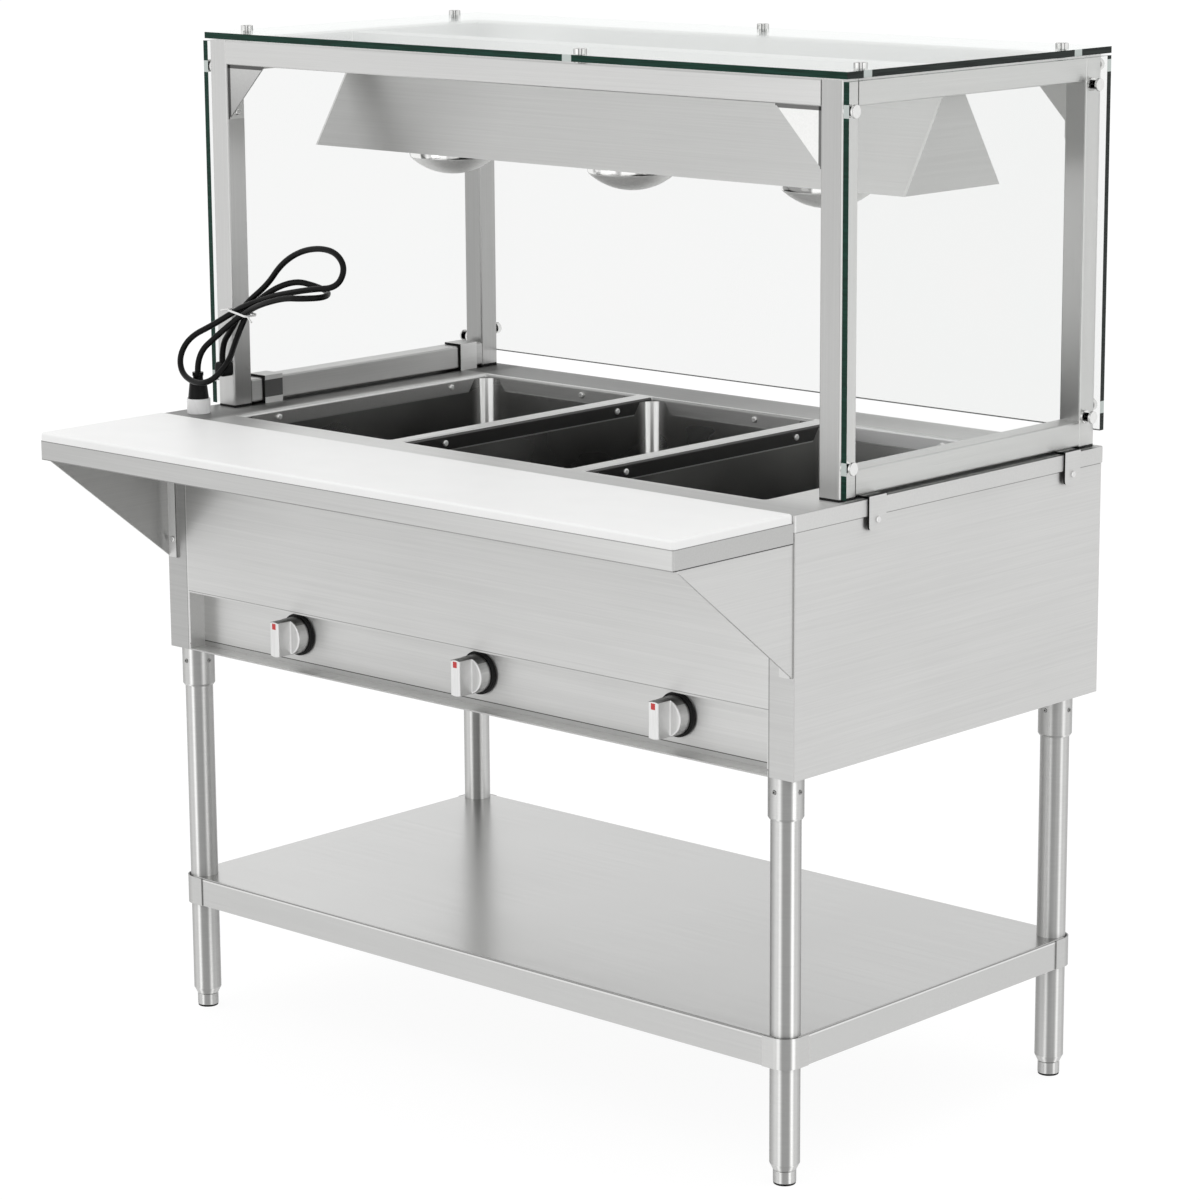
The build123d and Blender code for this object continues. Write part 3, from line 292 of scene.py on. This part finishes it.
def deck_painted_light(tree):
    """Painted light and shade on the deck: its right part lighter, strips behind and left of the wells and
    at its front ends darker, and at the edges of its openings painted highlights on the rims, painted shade
    on aprons that face right in the middle and right well, and rear aprons darker but lighter in the
    right well."""
    x, y, z = tree.axes()
    level = tree.facing(2, 1)
    rims = between(tree, x, *well_spans[0])
    for span in well_spans[1:]:
        rims = tree.math("ADD", rims, between(tree, x, *span))
    rims = tree.both(rims, between(tree, y, *well_reach), tree.math("GREATER_THAN", z, lip_low))
    behind = tree.both(level, tree.math("GREATER_THAN", y, well_reach[1]))
    outside = tree.spread(x, well_spans[0][0] - 0.012, well_spans[0][0] + 0.004, 1, 0)
    left_strip = tree.both(level, outside, tree.spread(y, -0.2, 0.4, 1.0, 0.7))
    ends = tree.math("ADD", tree.spread(x, -0.52, -0.36, 1, 0), tree.spread(x, 0.0, 0.5, 0, 1))
    front_ends = tree.both(level, tree.spread(y, well_reach[0] - 0.02, well_reach[0] + 0.04, 1, 0), ends)
    shaded = tree.both(rims, tree.facing(0, 1), tree.math("GREATER_THAN", x, well_spans[1][0]))
    rear_aprons = tree.both(rims, tree.facing(1, -1))
    in_right_well = tree.math("GREATER_THAN", x, well_spans[2][0])
    return [(tree.both(level, tree.spread(x, -0.6, 0.6, 0.6, 1.0)), 1.22), (rims, 1.15), (shaded, 0.14),
            (tree.both(behind, tree.spread(x, -0.1, 0.4, 1.0, 0.35)), 0.42), (left_strip, 0.42),
            (front_ends, 0.75), (tree.both(rear_aprons, tree.opposite(in_right_well)), 0.75),
            (tree.both(rear_aprons, in_right_well), 1.6)]


def hood_painted_light(tree):
    """Painted light and shade on the hood: its right part lighter and its left end darker."""
    x = tree.axes()[0]
    return [(tree.spread(x, -0.5, 0.5, 0.0, 1.0), 1.2), (tree.spread(x, -0.5, -0.2, 1, 0), 0.8)]


def hood_end_edges(tree):
    """A painted highlight on the edge round a hood's end, and painted shade on its faces."""
    face = tree.math("ADD", tree.facing(0, 1), tree.facing(0, -1))
    return [(face, 0.84), (tree.opposite(face), 1.35)]


def gusset_painted_light(tree):
    """Painted light and shade on the gussets' edges and faces: the front right one lighter, the front left
    one darker below, and painted shadow lines along the top and beside the post.
    """
    x, y, z = tree.axes()
    right_one = tree.math("GREATER_THAN", x, 0.0)
    front = tree.both(tree.facing(1, -1), tree.math("LESS_THAN", y, 0.0))
    left_low = tree.both(front, tree.opposite(right_one), tree.spread(z, gusset_low, gusset_high, 1, 0.25))
    top_line = tree.math("GREATER_THAN", z, gusset_high - gusset_top_line)
    post_line = tree.math("GREATER_THAN", tree.math("ABSOLUTE", x), gusset_post - gusset_post_line)
    return [(tree.both(front, right_one), 1.3), (left_low, 0.6), (tree.both(front, top_line), 0.2),
            (tree.both(front, post_line), 0.2)]


def left_bracket(tree):
    """The left bracket's inner side, which lies in shade, painted darker, and a painted shadow line beside
    its flange.
    """
    x = tree.axes()[0]
    beside = tree.both(between(tree, x, flange_end - flange_line, 0.0), tree.facing(1, -1))
    return [(tree.both(tree.math("LESS_THAN", x, 0.0), tree.facing(0, 1)), 0.8), (beside, 0.12)]


def under_lip(tree):
    """The shadow line below the deck's lip."""
    return [(between(tree, tree.axes()[2], lip_low - lip_shadow, lip_low), 0.5)]


def clip_edges(tree):
    """Painted shade on a clip's cut edge, and a painted dark reflection on the front left strap's face
    towards the wells.
    """
    x, y, z = tree.axes()
    strap = tree.both(tree.math("LESS_THAN", x, 0.0), tree.math("LESS_THAN", y, 0.1), tree.facing(0, 1))
    return [(tree.facing(1, -1), 0.03), (tree.both(strap, between(tree, z, *strap_reflection_band)), 0.2)]


def frame_shades(tree):
    """Painted shade on the frames' fronts, the left frame's inner side and the line below a lower rail."""
    x, y, z = tree.axes()
    front = tree.facing(1, -1)
    at_rear = tree.math("GREATER_THAN", y, 0.2)
    at_right = tree.math("GREATER_THAN", x, 0.0)
    outward = tree.facing(0, 1)
    below = tree.both(between(tree, y, post_ranges[0][1], post_ranges[1][0]),
                      tree.math("LESS_THAN", z, rail_low + rail_foot_line))
    return [(tree.both(front, at_rear), 0.66), (tree.both(front, tree.opposite(at_rear), at_right), 0.70),
            (tree.both(front, tree.opposite(at_rear), tree.opposite(at_right)), 0.93),
            (tree.both(outward, tree.opposite(at_right)), 0.75), (below, 0.1)]


def leg_reflections(tree):
    """Painted reflections: two bright streaks along a leg, with a darker middle and darker edges."""
    aside = tree.math("ABSOLUTE", tree.slant())
    from_streak = tree.math("ABSOLUTE", tree.math("SUBTRACT", aside, 0.41))
    return [(tree.spread(from_streak, 0.02, 0.13, 1, 0), 1.5), (tree.spread(aside, 0.20, 0.34, 1, 0), 0.55),
            (tree.spread(aside, 0.72, 1.0, 0, 1), 0.55)]


def cap_reflections(tree):
    """Painted reflections: dark lines down the sides of an upright cap."""
    aside = tree.math("ABSOLUTE", tree.slant())
    lines = tree.math("ADD", tree.spread(aside, 0.80, 0.95, 0, 1), between(tree, aside, 0.12, 0.34))
    return [(lines, 0.4)]


def framed_steel(name, tone, roughness):
    """Satin steel of a welded frame: lines run up the posts and along the rails."""
    tree = Tree(name)
    x, y, z = tree.axes()
    at_post = tree.math("ADD", between(tree, y, *post_ranges[0]), between(tree, y, *post_ranges[1]))
    rail_ends = tree.opposite(between(tree, z, rail_low + rail_height, rail_high - rail_height))
    outer_face = tree.both(tree.facing(0, 1), tree.math("GREATER_THAN", x, 0.0))
    in_post = tree.both(at_post, tree.opposite(tree.both(rail_ends, outer_face)))
    lines = tree.node("ShaderNodeMix", {"data_type": "FLOAT"})
    tangent = tree.node("ShaderNodeMix", {"data_type": "VECTOR"})
    for mix, first, picks in ((lines, 2, grain_lines), (tangent, 4, across)):
        tree.put(mix.inputs[0], in_post)
        tree.put(mix.inputs[first], picks(tree, "y"))
        tree.put(mix.inputs[first + 1], picks(tree, "z"))
    return steel_finish(tree, lines.outputs[0], tangent.outputs[1], tone, roughness, 0.06, 0.8, frame_shades)


def tub_steel(name):
    """Drawn tub with painted light and shade: smooth sides painted dark, a rear wall painted lighter (more
    so in the right well), all darker towards the bottom, painted bright corner shoulders, and painted bright
    streaks down the round corners, whose normals are tilted up.
    """
    tree = Tree(name)
    normal = tree.node("ShaderNodeNewGeometry").outputs["Normal"]
    turned = tree.node("ShaderNodeSeparateXYZ", None, Vector=normal).outputs
    x, _, z = tree.axes()
    corner = tree.math("ABSOLUTE", tree.math("MULTIPLY", turned[0], turned[1]))
    streak = tree.both(tree.spread(corner, 0.38, 0.46, 0, 1), tree.spread(corner, 0.482, 0.497, 1, 0.25))
    clouds = tree.noise((5.0, 5.0, 9.0), 2.0)
    height = tree.spread(z, tub_low, tub_high, 0.45, 1.0)
    depth = tree.math("MULTIPLY", height, tree.spread(clouds, 0.3, 0.7, 0.85, 1.1))
    sides = tree.blend(depth, (0.05, 0.05, 0.05), (0.30, 0.30, 0.295))
    rear = tree.blend(depth, (0.30, 0.30, 0.295), (0.72, 0.72, 0.71))
    at_rear = tree.spread(turned[1], -0.6, -0.9, 0, 1)
    walls = tree.blend(at_rear, sides, rear)
    lit_rear = tree.both(at_rear, tree.math("GREATER_THAN", x, well_spans[2][0]))
    walls = tree.dimmed(walls, lit_rear, 1.3)
    shoulder_highlight = tree.blend(tree.spread(corner, 0.05, 0.30, 0, 1), walls, (0.70, 0.70, 0.69))
    colour = tree.blend(streak, shoulder_highlight, (0.95, 0.95, 0.94))
    rough = tree.math("ADD", tree.spread(clouds, 0.3, 0.7, 0.26, 0.32), tree.math("MULTIPLY", streak, 0.1))
    lift = tree.math("ADD", tree.math("MULTIPLY", streak, 0.36), tree.math("MULTIPLY", lit_rear, 0.07))
    tilted = tree.node("ShaderNodeVectorMath", {"operation": "ADD"})
    tree.put(tilted.inputs[0], normal)
    tree.put(tilted.inputs[1], tree.node("ShaderNodeCombineXYZ", None, Z=lift).outputs[0])
    whole = tree.node("ShaderNodeVectorMath", {"operation": "NORMALIZE"})
    tree.put(whole.inputs[0], tilted.outputs[0])
    return tree.finish(Base_Color=colour, Roughness=rough, Metallic=1.0, Normal=whole.outputs[0])


def bright_metal(name, tone, roughness, painted_light=nowhere):
    """Small turned or polished metal with faint handling marks, and shade and highlights painted into the
    colour at the places given.
    """
    tree = Tree(name)
    marks = tree.noise((260.0, 260.0, 260.0), 4.0)
    colour = tree.blend(tree.spread(marks, 0.3, 0.7, 0, 1), tuple(c * 0.94 for c in tone), tone)
    for mask, factor in painted_light(tree):
        colour = tree.dimmed(colour, mask, factor)
    rough = tree.spread(marks, 0.3, 0.7, roughness + 0.07, roughness)
    tree.bump(marks, 0.04, 0.0003)
    return tree.finish(Base_Color=colour, Roughness=rough, Metallic=1.0)


def moulded(name, tone, roughness, grain_scale=900.0, bump=0.12, contrast=0.08, shine=0.5):
    """Moulded plastic or rubber with a fine mottled skin."""
    tree = Tree(name)
    skin = tree.noise((grain_scale, grain_scale, grain_scale), 3.0)
    broad = tree.noise((14.0, 14.0, 14.0), 2.0)
    shade = tree.math("ADD", tree.math("MULTIPLY", skin, 0.5), tree.math("MULTIPLY", broad, 0.5))
    dark = tuple(c * (1 - contrast) for c in tone)
    light = tuple(min(1.0, c * (1 + contrast)) for c in tone)
    colour = tree.blend(tree.spread(shade, 0.35, 0.65, 0, 1), dark, light)
    rough = tree.spread(skin, 0.3, 0.7, roughness - 0.05, roughness + 0.05)
    tree.bump(skin, bump, 0.0003)
    return tree.finish(Base_Color=colour, Roughness=rough, Specular_IOR_Level=shine)


def pane(name, face_axis, cap_glints, clearness_and_shade, foot_shade, mirror_index):
    """Clear glass: see-through faces with a faint tint (darker on some panes: painted shade) and a mirror
    skin, and dark green cut edges.

    A cut edge has a painted highlight beside each cap, and is clear where it is seen from within the
    glass, but for the foot, which can carry painted shade."""
    tree = Tree(name)
    face_number = "xyz".index(face_axis)
    on_face = tree.math("ADD", tree.facing(face_number, 1), tree.facing(face_number, -1))
    haze = tree.noise((9.0, 9.0, 9.0), 2.0)
    tints = [(clearness_and_shade * red, clearness_and_shade, 0.998 * clearness_and_shade) for red in (0.997, 0.999)]
    tint = tree.blend(tree.spread(haze, 0.35, 0.65, 0, 1), *tints)
    clear = tree.node("ShaderNodeBsdfTransparent", None, Color=tint)
    skin = tree.node("ShaderNodeBsdfGlossy", None, Color=(0.95, 0.97, 0.96), Roughness=0.15)
    mirror = tree.node("ShaderNodeFresnel", None, IOR=mirror_index).outputs[0]
    inside = tree.node("ShaderNodeNewGeometry").outputs["Backfacing"]
    front = tree.math("SUBTRACT", 1.0, inside)
    face = tree.node("ShaderNodeMixShader", None, Fac=tree.math("MULTIPLY", mirror, front))
    tree.put(face.inputs[1], clear.outputs[0])
    tree.put(face.inputs[2], skin.outputs[0])
    bands = tree.noise((22.0, 22.0, 700.0), 2.0)
    streak = tree.spread(bands, 0.35, 0.65, 0, 1)
    green = tree.blend(streak, (0.002, 0.022, 0.013), (0.006, 0.045, 0.030))
    grey = tree.blend(streak, (0.004, 0.007, 0.006), (0.018, 0.026, 0.023))
    edge_colour = tree.blend(tree.facing(0, 1), green, grey)
    axes = tree.axes()
    for axis, place in cap_glints:
        mark = between(tree, axes["xyz".index(axis)], place - cap_glint_half, place + cap_glint_half)
        edge_colour = tree.blend(mark, edge_colour, (0.55, 0.60, 0.58))
    tree.finish(Base_Color=edge_colour, Roughness=0.12, Specular_IOR_Level=0.15)
    foot_tint = tree.blend(tree.facing(2, 1), (1.0, 1.0, 1.0), (foot_shade, foot_shade, foot_shade))
    within = tree.node("ShaderNodeBsdfTransparent", None, Color=foot_tint)
    edge = tree.node("ShaderNodeMixShader", None, Fac=inside)
    tree.put(edge.inputs[1], tree.shader.outputs[0])
    tree.put(edge.inputs[2], within.outputs[0])
    whole = tree.node("ShaderNodeMixShader", None, Fac=on_face)
    tree.put(whole.inputs[1], edge.outputs[0])
    tree.put(whole.inputs[2], face.outputs[0])
    tree.put(tree.output.inputs["Surface"], whole.outputs[0])
    return tree.material


def knob_metal(name, x):
    """Satin silver with a turned skirt and a red mark at the top of the grip bar's front, a painted highlight
    along the grip's ridge, and its upward faces painted darker as shade.
    """
    tree = Tree(name)
    px, py, pz = tree.axes()
    lines = tree.noise((900.0, 30.0, 30.0), 3.0)
    colour = tree.blend(tree.spread(lines, 0.3, 0.7, 0, 1), (0.70, 0.70, 0.695), (0.80, 0.80, 0.795))
    in_x = between(tree, px, x - mark_half_width, x + mark_half_width)
    in_z = between(tree, pz, knob_z + mark_low, knob_z + mark_high)
    in_y = tree.math("LESS_THAN", py, knob_front_y + mark_depth)
    mark = tree.both(in_x, in_z, in_y)
    from_middle = tree.math("ABSOLUTE", tree.math("SUBTRACT", px, x))
    ridge = between(tree, from_middle, ridge_start, ridge_start + ridge_width)
    colour = tree.dimmed(colour, tree.both(ridge, tree.facing(1, -1)), 1.35)
    colour = tree.dimmed(colour, tree.facing(2, 1), 0.4)
    coloured = tree.blend(mark, colour, (0.62, 0.03, 0.03))
    metal = tree.spread(mark, 0, 1, 1, 0)
    rough = tree.spread(lines, 0.3, 0.7, 0.42, 0.34)
    tree.bump(lines, 0.06, 0.0003)
    return tree.finish(Base_Color=coloured, Roughness=rough, Metallic=metal)


def bulb_glass(name):
    """Reflector bulb: a grey frosted face below a bright rim with painted reflections of light windows."""
    tree = Tree(name)
    on_rim = tree.math("GREATER_THAN", tree.axes()[2], bulb_rim_z)
    window_reflections = tree.spread(tree.noise((42.0, 42.0, 5.0), 1.0, 0.4), 0.46, 0.54, 0, 1)
    rim_colour = tree.blend(window_reflections, (0.30, 0.30, 0.295), (0.97, 0.97, 0.96))
    frost = tree.noise((260.0, 260.0, 260.0), 3.0)
    face_colour = tree.blend(tree.spread(frost, 0.3, 0.7, 0, 1), (0.80, 0.80, 0.785), (0.90, 0.90, 0.885))
    colour = tree.blend(on_rim, face_colour, rim_colour)
    rough = tree.spread(on_rim, 0, 1, 0.42, 0.12)
    metal = tree.spread(on_rim, 0, 1, 0.4, 1.0)
    tree.bump(frost, 0.05, 0.0003)
    return tree.finish(Base_Color=colour, Roughness=rough, Metallic=metal)


def translucent(name, tone):
    """Milky clear plastic."""
    tree = Tree(name)
    swirl = tree.noise((60.0, 60.0, 25.0), 3.0)
    colour = tree.blend(tree.spread(swirl, 0.35, 0.65, 0, 1), tuple(c * 0.95 for c in tone), tone)
    rough = tree.spread(swirl, 0.3, 0.7, 0.2, 0.3)
    return tree.finish(Base_Color=colour, Roughness=rough, Alpha=0.85)


# Knob places, and sizes of the red mark and of the painted highlight along the ridge
knob_x = {"knob_1": -0.356, "knob_2": 0.014, "knob_3": 0.384}
knob_z = 0.614
knob_front_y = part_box("knob_1")[0][1]
mark_half_width = 0.0038
mark_low = 0.015
mark_high = 0.0238
mark_depth = 0.0015
ridge_start = 0.009
ridge_width = 0.0016

# Places that the materials change at
lip_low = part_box("deck_top")[0][2] + 0.002
lip_shadow = 0.0018
shelf_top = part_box("undershelf")[1][2]
fold_start = 0.0008
fold_middle = 0.0024
fold_end = 0.0048
collar_end_x = 0.5565
collar_ends_y = (-0.17915, 0.37465)
collar_line = 0.0016
stile_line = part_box("control_panel")[1][0]
stile_glint = 0.0022
stile_shade = 0.0034
right_stile_shade = 0.0016
shadow_width = 0.17
shadow_height = 0.14
recess_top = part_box("control_panel")[1][2]
recess_line_below = 0.001
recess_line_above = 0.0012
ledge_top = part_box("control_panel")[0][2] + 0.002
ledge_fold_low = ledge_top + 0.0070
ledge_fold_high = ledge_top + 0.0084
board_edge_low, board_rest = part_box("board_shelf")[0][2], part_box("board_shelf")[1][2]
board_foot_line = 0.0014
board_top_line = 0.0012
flange_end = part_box("board_bracket_left")[1][0]
flange_line = 0.0018
well_half_width = 0.1635
well_middles = (-0.35, 0.0, 0.35)
well_spans = [(middle - well_half_width, middle + well_half_width) for middle in well_middles]
well_reach = (-0.17025, 0.36275)
tub_low = 0.78
tub_high = 0.905
gusset_low, gusset_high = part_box("guard_gussets")[0][2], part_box("guard_gussets")[1][2]
gusset_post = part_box("guard_gussets")[1][0]
gusset_top_line = 0.0052
gusset_post_line = 0.0054
rail_low, rail_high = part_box("guard_side_left")[0][2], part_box("guard_side_left")[1][2]
rail_height = 0.038
rail_foot_line = 0.0008
# Heights of the painted dark reflection on the front left clip's strap
strap_reflection_band = (0.927, 0.953)
cap_glint_half = 0.0085
bulb_rim_z = 1.2855
# Places of the painted highlights on the glass edges beside the caps
side_cap_glints = (("z", 0.9627), ("z", 1.4243))
rear_cap_glints = (("z", 0.973), ("z", 1.4485))
top_cap_glints = (("x", 0.122), ("y", -0.083), ("y", 0.373))
post_ranges = ((-0.125, -0.0885), (0.4055, 0.442))

# Materials and the solids that carry them
steel_tone = (0.65, 0.65, 0.642)
sheet_x = brushed_steel("sheet_x", "x", steel_tone, 0.40)
bracket_steel = brushed_steel("bracket_steel", "y", steel_tone, 0.40, painted_light=left_bracket)
tube_x = brushed_steel("tube_x", "x", steel_tone, 0.36)
deck_steel = brushed_steel("deck_steel", "x", steel_tone, 0.40, painted_light=deck_painted_light)
hood_steel = brushed_steel("hood_steel", "x", steel_tone, 0.40, painted_light=hood_painted_light)
front_steel = brushed_steel("front_steel", "x", steel_tone, 0.40, painted_light=front_painted_light)
recess_steel = brushed_steel("recess_steel", "x", steel_tone, 0.40, painted_light=recess_foot)
board_shelf_steel = brushed_steel("board_shelf_steel", "x", steel_tone, 0.40, painted_light=board_shelf_edge)
shelf_steel = brushed_steel("shelf_steel", "x", (0.61, 0.61, 0.603), 0.23, 0.05, 0.3, shelf_sides)
side_steel = brushed_steel("side_steel", "y", steel_tone, 0.40, painted_light=under_lip)
clip_steel = brushed_steel("clip_steel", "y", steel_tone, 0.40, painted_light=clip_edges)
gusset_steel = brushed_steel("gusset_steel", "y", steel_tone, 0.40, painted_light=gusset_painted_light)
hood_end_steel = brushed_steel("hood_end_steel", "y", steel_tone, 0.40, painted_light=hood_end_edges)
leg_steel = brushed_steel("leg_steel", "round", (0.62, 0.62, 0.612), 0.40, 0.04, 0.9, leg_reflections)
liner_steel = tub_steel("liner_steel")
guard_frame = framed_steel("guard_frame", steel_tone, 0.36)
polished = bright_metal("polished", (0.74, 0.74, 0.735), 0.12)
# The well screws are painted brighter than the other screws, a painted highlight in the dark wells
screw_metal = bright_metal("screw_metal", (0.97, 0.97, 0.96), 0.42)
set_screw_metal = bright_metal("set_screw_metal", (0.32, 0.32, 0.315), 0.25)
cap_metal = bright_metal("cap_metal", (0.80, 0.80, 0.79), 0.2, cap_reflections)
sheath = bright_metal("sheath", (0.16, 0.15, 0.14), 0.45)
bulb_face = bulb_glass("bulb_face")
black_plastic = moulded("black_plastic", (0.007, 0.007, 0.007), 0.42, shine=0.15)
black_rubber = moulded("black_rubber", (0.005, 0.005, 0.005), 0.30, 700.0, 0.2, shine=0.12)
brown_plastic = moulded("brown_plastic", (0.10, 0.09, 0.08), 0.5)
board_white = moulded("board_white", (0.90, 0.90, 0.895), 0.42, 500.0, 0.08, 0.015)
tie_white = moulded("tie_white", (0.85, 0.85, 0.84), 0.35)
ceramic = moulded("ceramic", (0.80, 0.79, 0.75), 0.25)
clear_cap = translucent("clear_cap", (0.98, 0.98, 0.98))

dress = {
    sheet_x: ["rear_panel", "bottom_pan"],
    bracket_steel: ["board_bracket_left", "board_bracket_right"],
    deck_steel: ["deck_top"],
    hood_steel: ["lamp_hood"],
    front_steel: ["front_panel"],
    recess_steel: ["control_panel"],
    board_shelf_steel: ["board_shelf"],
    shelf_steel: ["undershelf"],
    side_steel: ["side_panel_left", "side_panel_right"],
    clip_steel: ["deck_clips"],
    gusset_steel: ["guard_gussets"],
    hood_end_steel: ["hood_ends"],
    tube_x: ["guard_rail_front", "guard_rail_rear"],
    leg_steel: ["leg_fl", "leg_fr", "leg_rl", "leg_rr", "leg_sockets", "shelf_collars",
                "foot_fl", "foot_fr", "foot_rl", "foot_rr"],
    liner_steel: ["well_liner_1", "well_liner_2", "well_liner_3"],
    guard_frame: ["guard_side_left", "guard_side_right"],
    polished: ["bracket_screws", "guard_screws"],
    screw_metal: ["well_screws"],
    set_screw_metal: ["socket_set_screws"],
    cap_metal: ["glass_caps"],
    sheath: ["heating_elements"],
    bulb_face: ["lamp_bulbs"],
    black_plastic: ["knob_bezels", "post_plugs", "cord_gland"],
    black_rubber: ["foot_pad_fl", "foot_pad_fr", "foot_pad_rl", "foot_pad_rr", "plug"],
    brown_plastic: ["control_switches"],
    board_white: ["cutting_board"],
    tie_white: ["cord_tie"],
    ceramic: ["lamp_sockets"],
    clear_cap: ["plug_cap"],
    # The left and rear panes are tinted darker than the others, and the rear pane's foot is dark: painted
    # shade
    pane("glass_top", "z", top_cap_glints, 0.980, 1.0, 1.35): ["glass_top"],
    pane("glass_left", "x", side_cap_glints, 0.945, 1.0, 1.12): ["glass_left"],
    pane("glass_right", "x", side_cap_glints, 0.988, 1.0, 1.12): ["glass_right"],
    pane("glass_rear", "y", rear_cap_glints, 0.942, 0.15, 1.12): ["glass_rear"],
}
for knob, x in knob_x.items():
    dress[knob_metal(knob + "_metal", x)] = [knob]
for material, names in dress.items():
    for name in names:
        nodes[name].data.materials.clear()
        nodes[name].data.materials.append(material)


# Supply cord: one smooth line on the hank's route
hank_corner = Vector((-0.5995, -0.12375, 0.918))
cord_radius = 0.0045
cord_route = [
    (0.024, -0.013, 0.070), (0.024, -0.013, 0.096), (0.050, -0.016, 0.122), (0.072, -0.020, 0.145),
    (0.087, -0.020, 0.164), (0.120, -0.006, 0.193), (0.150, -0.006, 0.226), (0.189, -0.004, 0.248),
    (0.237, -0.007, 0.257), (0.275, -0.010, 0.252), (0.296, -0.015, 0.231), (0.284, -0.022, 0.204),
    (0.238, -0.027, 0.199), (0.168, -0.029, 0.185), (0.130, -0.027, 0.174), (0.092, -0.030, 0.161),
    (0.071, -0.030, 0.151), (0.042, -0.045, 0.131), (0.000, -0.055, 0.110), (-0.011, -0.067, 0.082),
    (0.005, -0.077, 0.057), (0.048, -0.087, 0.048), (0.085, -0.089, 0.056), (0.100, -0.069, 0.082),
    (0.079, -0.035, 0.109), (0.079, -0.019, 0.136), (0.095, -0.019, 0.158), (0.136, -0.013, 0.188),
    (0.168, 0.005, 0.202), (0.200, 0.013, 0.197), (0.232, 0.013, 0.190), (0.255, -0.018, 0.187),
    (0.237, -0.049, 0.187), (0.202, -0.048, 0.185), (0.158, -0.044, 0.174), (0.126, -0.037, 0.164),
    (0.097, -0.031, 0.152), (0.076, -0.031, 0.140), (0.055, -0.047, 0.118), (0.026, -0.064, 0.088),
    (0.026, -0.064, 0.061),
]
line = bpy.data.curves.new("supply_cord", "CURVE")
line.dimensions = "3D"
line.bevel_depth = cord_radius
line.bevel_resolution = 6
line.resolution_u = 12
line.use_fill_caps = True
spline = line.splines.new("NURBS")
spline.points.add(len(cord_route) - 1)
for point, place in zip(spline.points, cord_route):
    point.co = (*(hank_corner + Vector(place)), 1)
spline.order_u = 3
spline.use_endpoint_u = True
supply_cord = bpy.data.objects.new("supply_cord", line)
scene.collection.objects.link(supply_cord)
line.materials.append(black_rubber)
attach(supply_cord, "table")
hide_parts("cord")


# Floor, backdrop light and lamps
floor_size = 60.0
floor_mesh = bpy.data.meshes.new("floor")
half = floor_size / 2
floor_corners = [(-half, -half, 0), (half, -half, 0), (half, half, 0), (-half, half, 0)]
floor_mesh.from_pydata(floor_corners, [], [(0, 1, 2, 3)])
floor = bpy.data.objects.new("floor", floor_mesh)
scene.collection.objects.link(floor)
floor_tree = Tree("floor")
path = floor_tree.node("ShaderNodeLightPath").outputs
seen = floor_tree.math("ADD", path["Is Camera Ray"], path["Is Glossy Ray"])
seen = floor_tree.math("ADD", seen, path["Is Transmission Ray"], clamp=True)
shadow_share = floor_tree.node("ShaderNodeBsdfDiffuse", None, Color=(0.12, 0.12, 0.12))
glow = floor_tree.node("ShaderNodeEmission", None, Color=(1, 1, 1), Strength=0.92)
bright_floor = floor_tree.node("ShaderNodeAddShader")
floor_tree.put(bright_floor.inputs[0], shadow_share.outputs[0])
floor_tree.put(bright_floor.inputs[1], glow.outputs[0])
plain_floor = floor_tree.node("ShaderNodeBsdfDiffuse", None, Color=(0.80, 0.80, 0.80))
floor_mix = floor_tree.node("ShaderNodeMixShader", None, Fac=seen)
floor_tree.put(floor_mix.inputs[1], plain_floor.outputs[0])
floor_tree.put(floor_mix.inputs[2], bright_floor.outputs[0])
floor_tree.put(floor_tree.output.inputs["Surface"], floor_mix.outputs[0])
floor_mesh.materials.append(floor_tree.material)

world = bpy.data.worlds.new("studio")
scene.world = world
world.use_nodes = True
sky = world.node_tree.nodes["Background"]
sky.inputs["Color"].default_value = (1, 1, 1, 1)
sky.inputs["Strength"].default_value = 1.0


def aimed(place, target):
    facing = (Vector(target) - Vector(place)).to_track_quat("-Z", "Y")
    return Matrix.Translation(place) @ facing.to_matrix().to_4x4()


def softbox(name, place, size, radiance):
    lamp = bpy.data.lights.new(name, "AREA")
    lamp.shape = "RECTANGLE"
    lamp.size, lamp.size_y = size
    lamp.energy = radiance * math.pi * size[0] * size[1]
    holder = bpy.data.objects.new(name, lamp)
    scene.collection.objects.link(holder)
    holder.matrix_world = aimed(place, (0, 0, 0.8))
    holder.visible_camera = False


def studio_card(name, x, y, width, height, shade):
    """A standing screen beside the object that only shows in its reflections."""
    mesh = bpy.data.meshes.new(name)
    half = width / 2
    mesh.from_pydata([(-half, 0, 0), (half, 0, 0), (half, height, 0), (-half, height, 0)], [], [(0, 1, 2, 3)])
    card = bpy.data.objects.new(name, mesh)
    scene.collection.objects.link(card)
    card.matrix_world = aimed((x, y, 0), (0, 0, 0))
    card_tree = Tree(name)
    glow = card_tree.node("ShaderNodeEmission", None, Color=(1, 1, 1), Strength=shade)
    card_tree.put(card_tree.output.inputs["Surface"], glow.outputs[0])
    mesh.materials.append(card_tree.material)
    card.visible_camera = False
    card.visible_diffuse = False
    card.visible_shadow = False
    card.visible_transmission = False
    return card


softbox("top_box", Vector((0, -0.4, 4.2)), (3.0, 2.4), 0.5)
ceiling = studio_card("dark_ceiling", 0, 0, 5.0, 5.0, 0.75)
ceiling.matrix_world = Matrix.Translation((0, -2.5, 3.4))
studio_card("left_card", -0.52, -2.35, 0.9, 2.6, 1.6)
studio_card("right_card", 1.75, -0.15, 0.55, 2.6, 1.6)
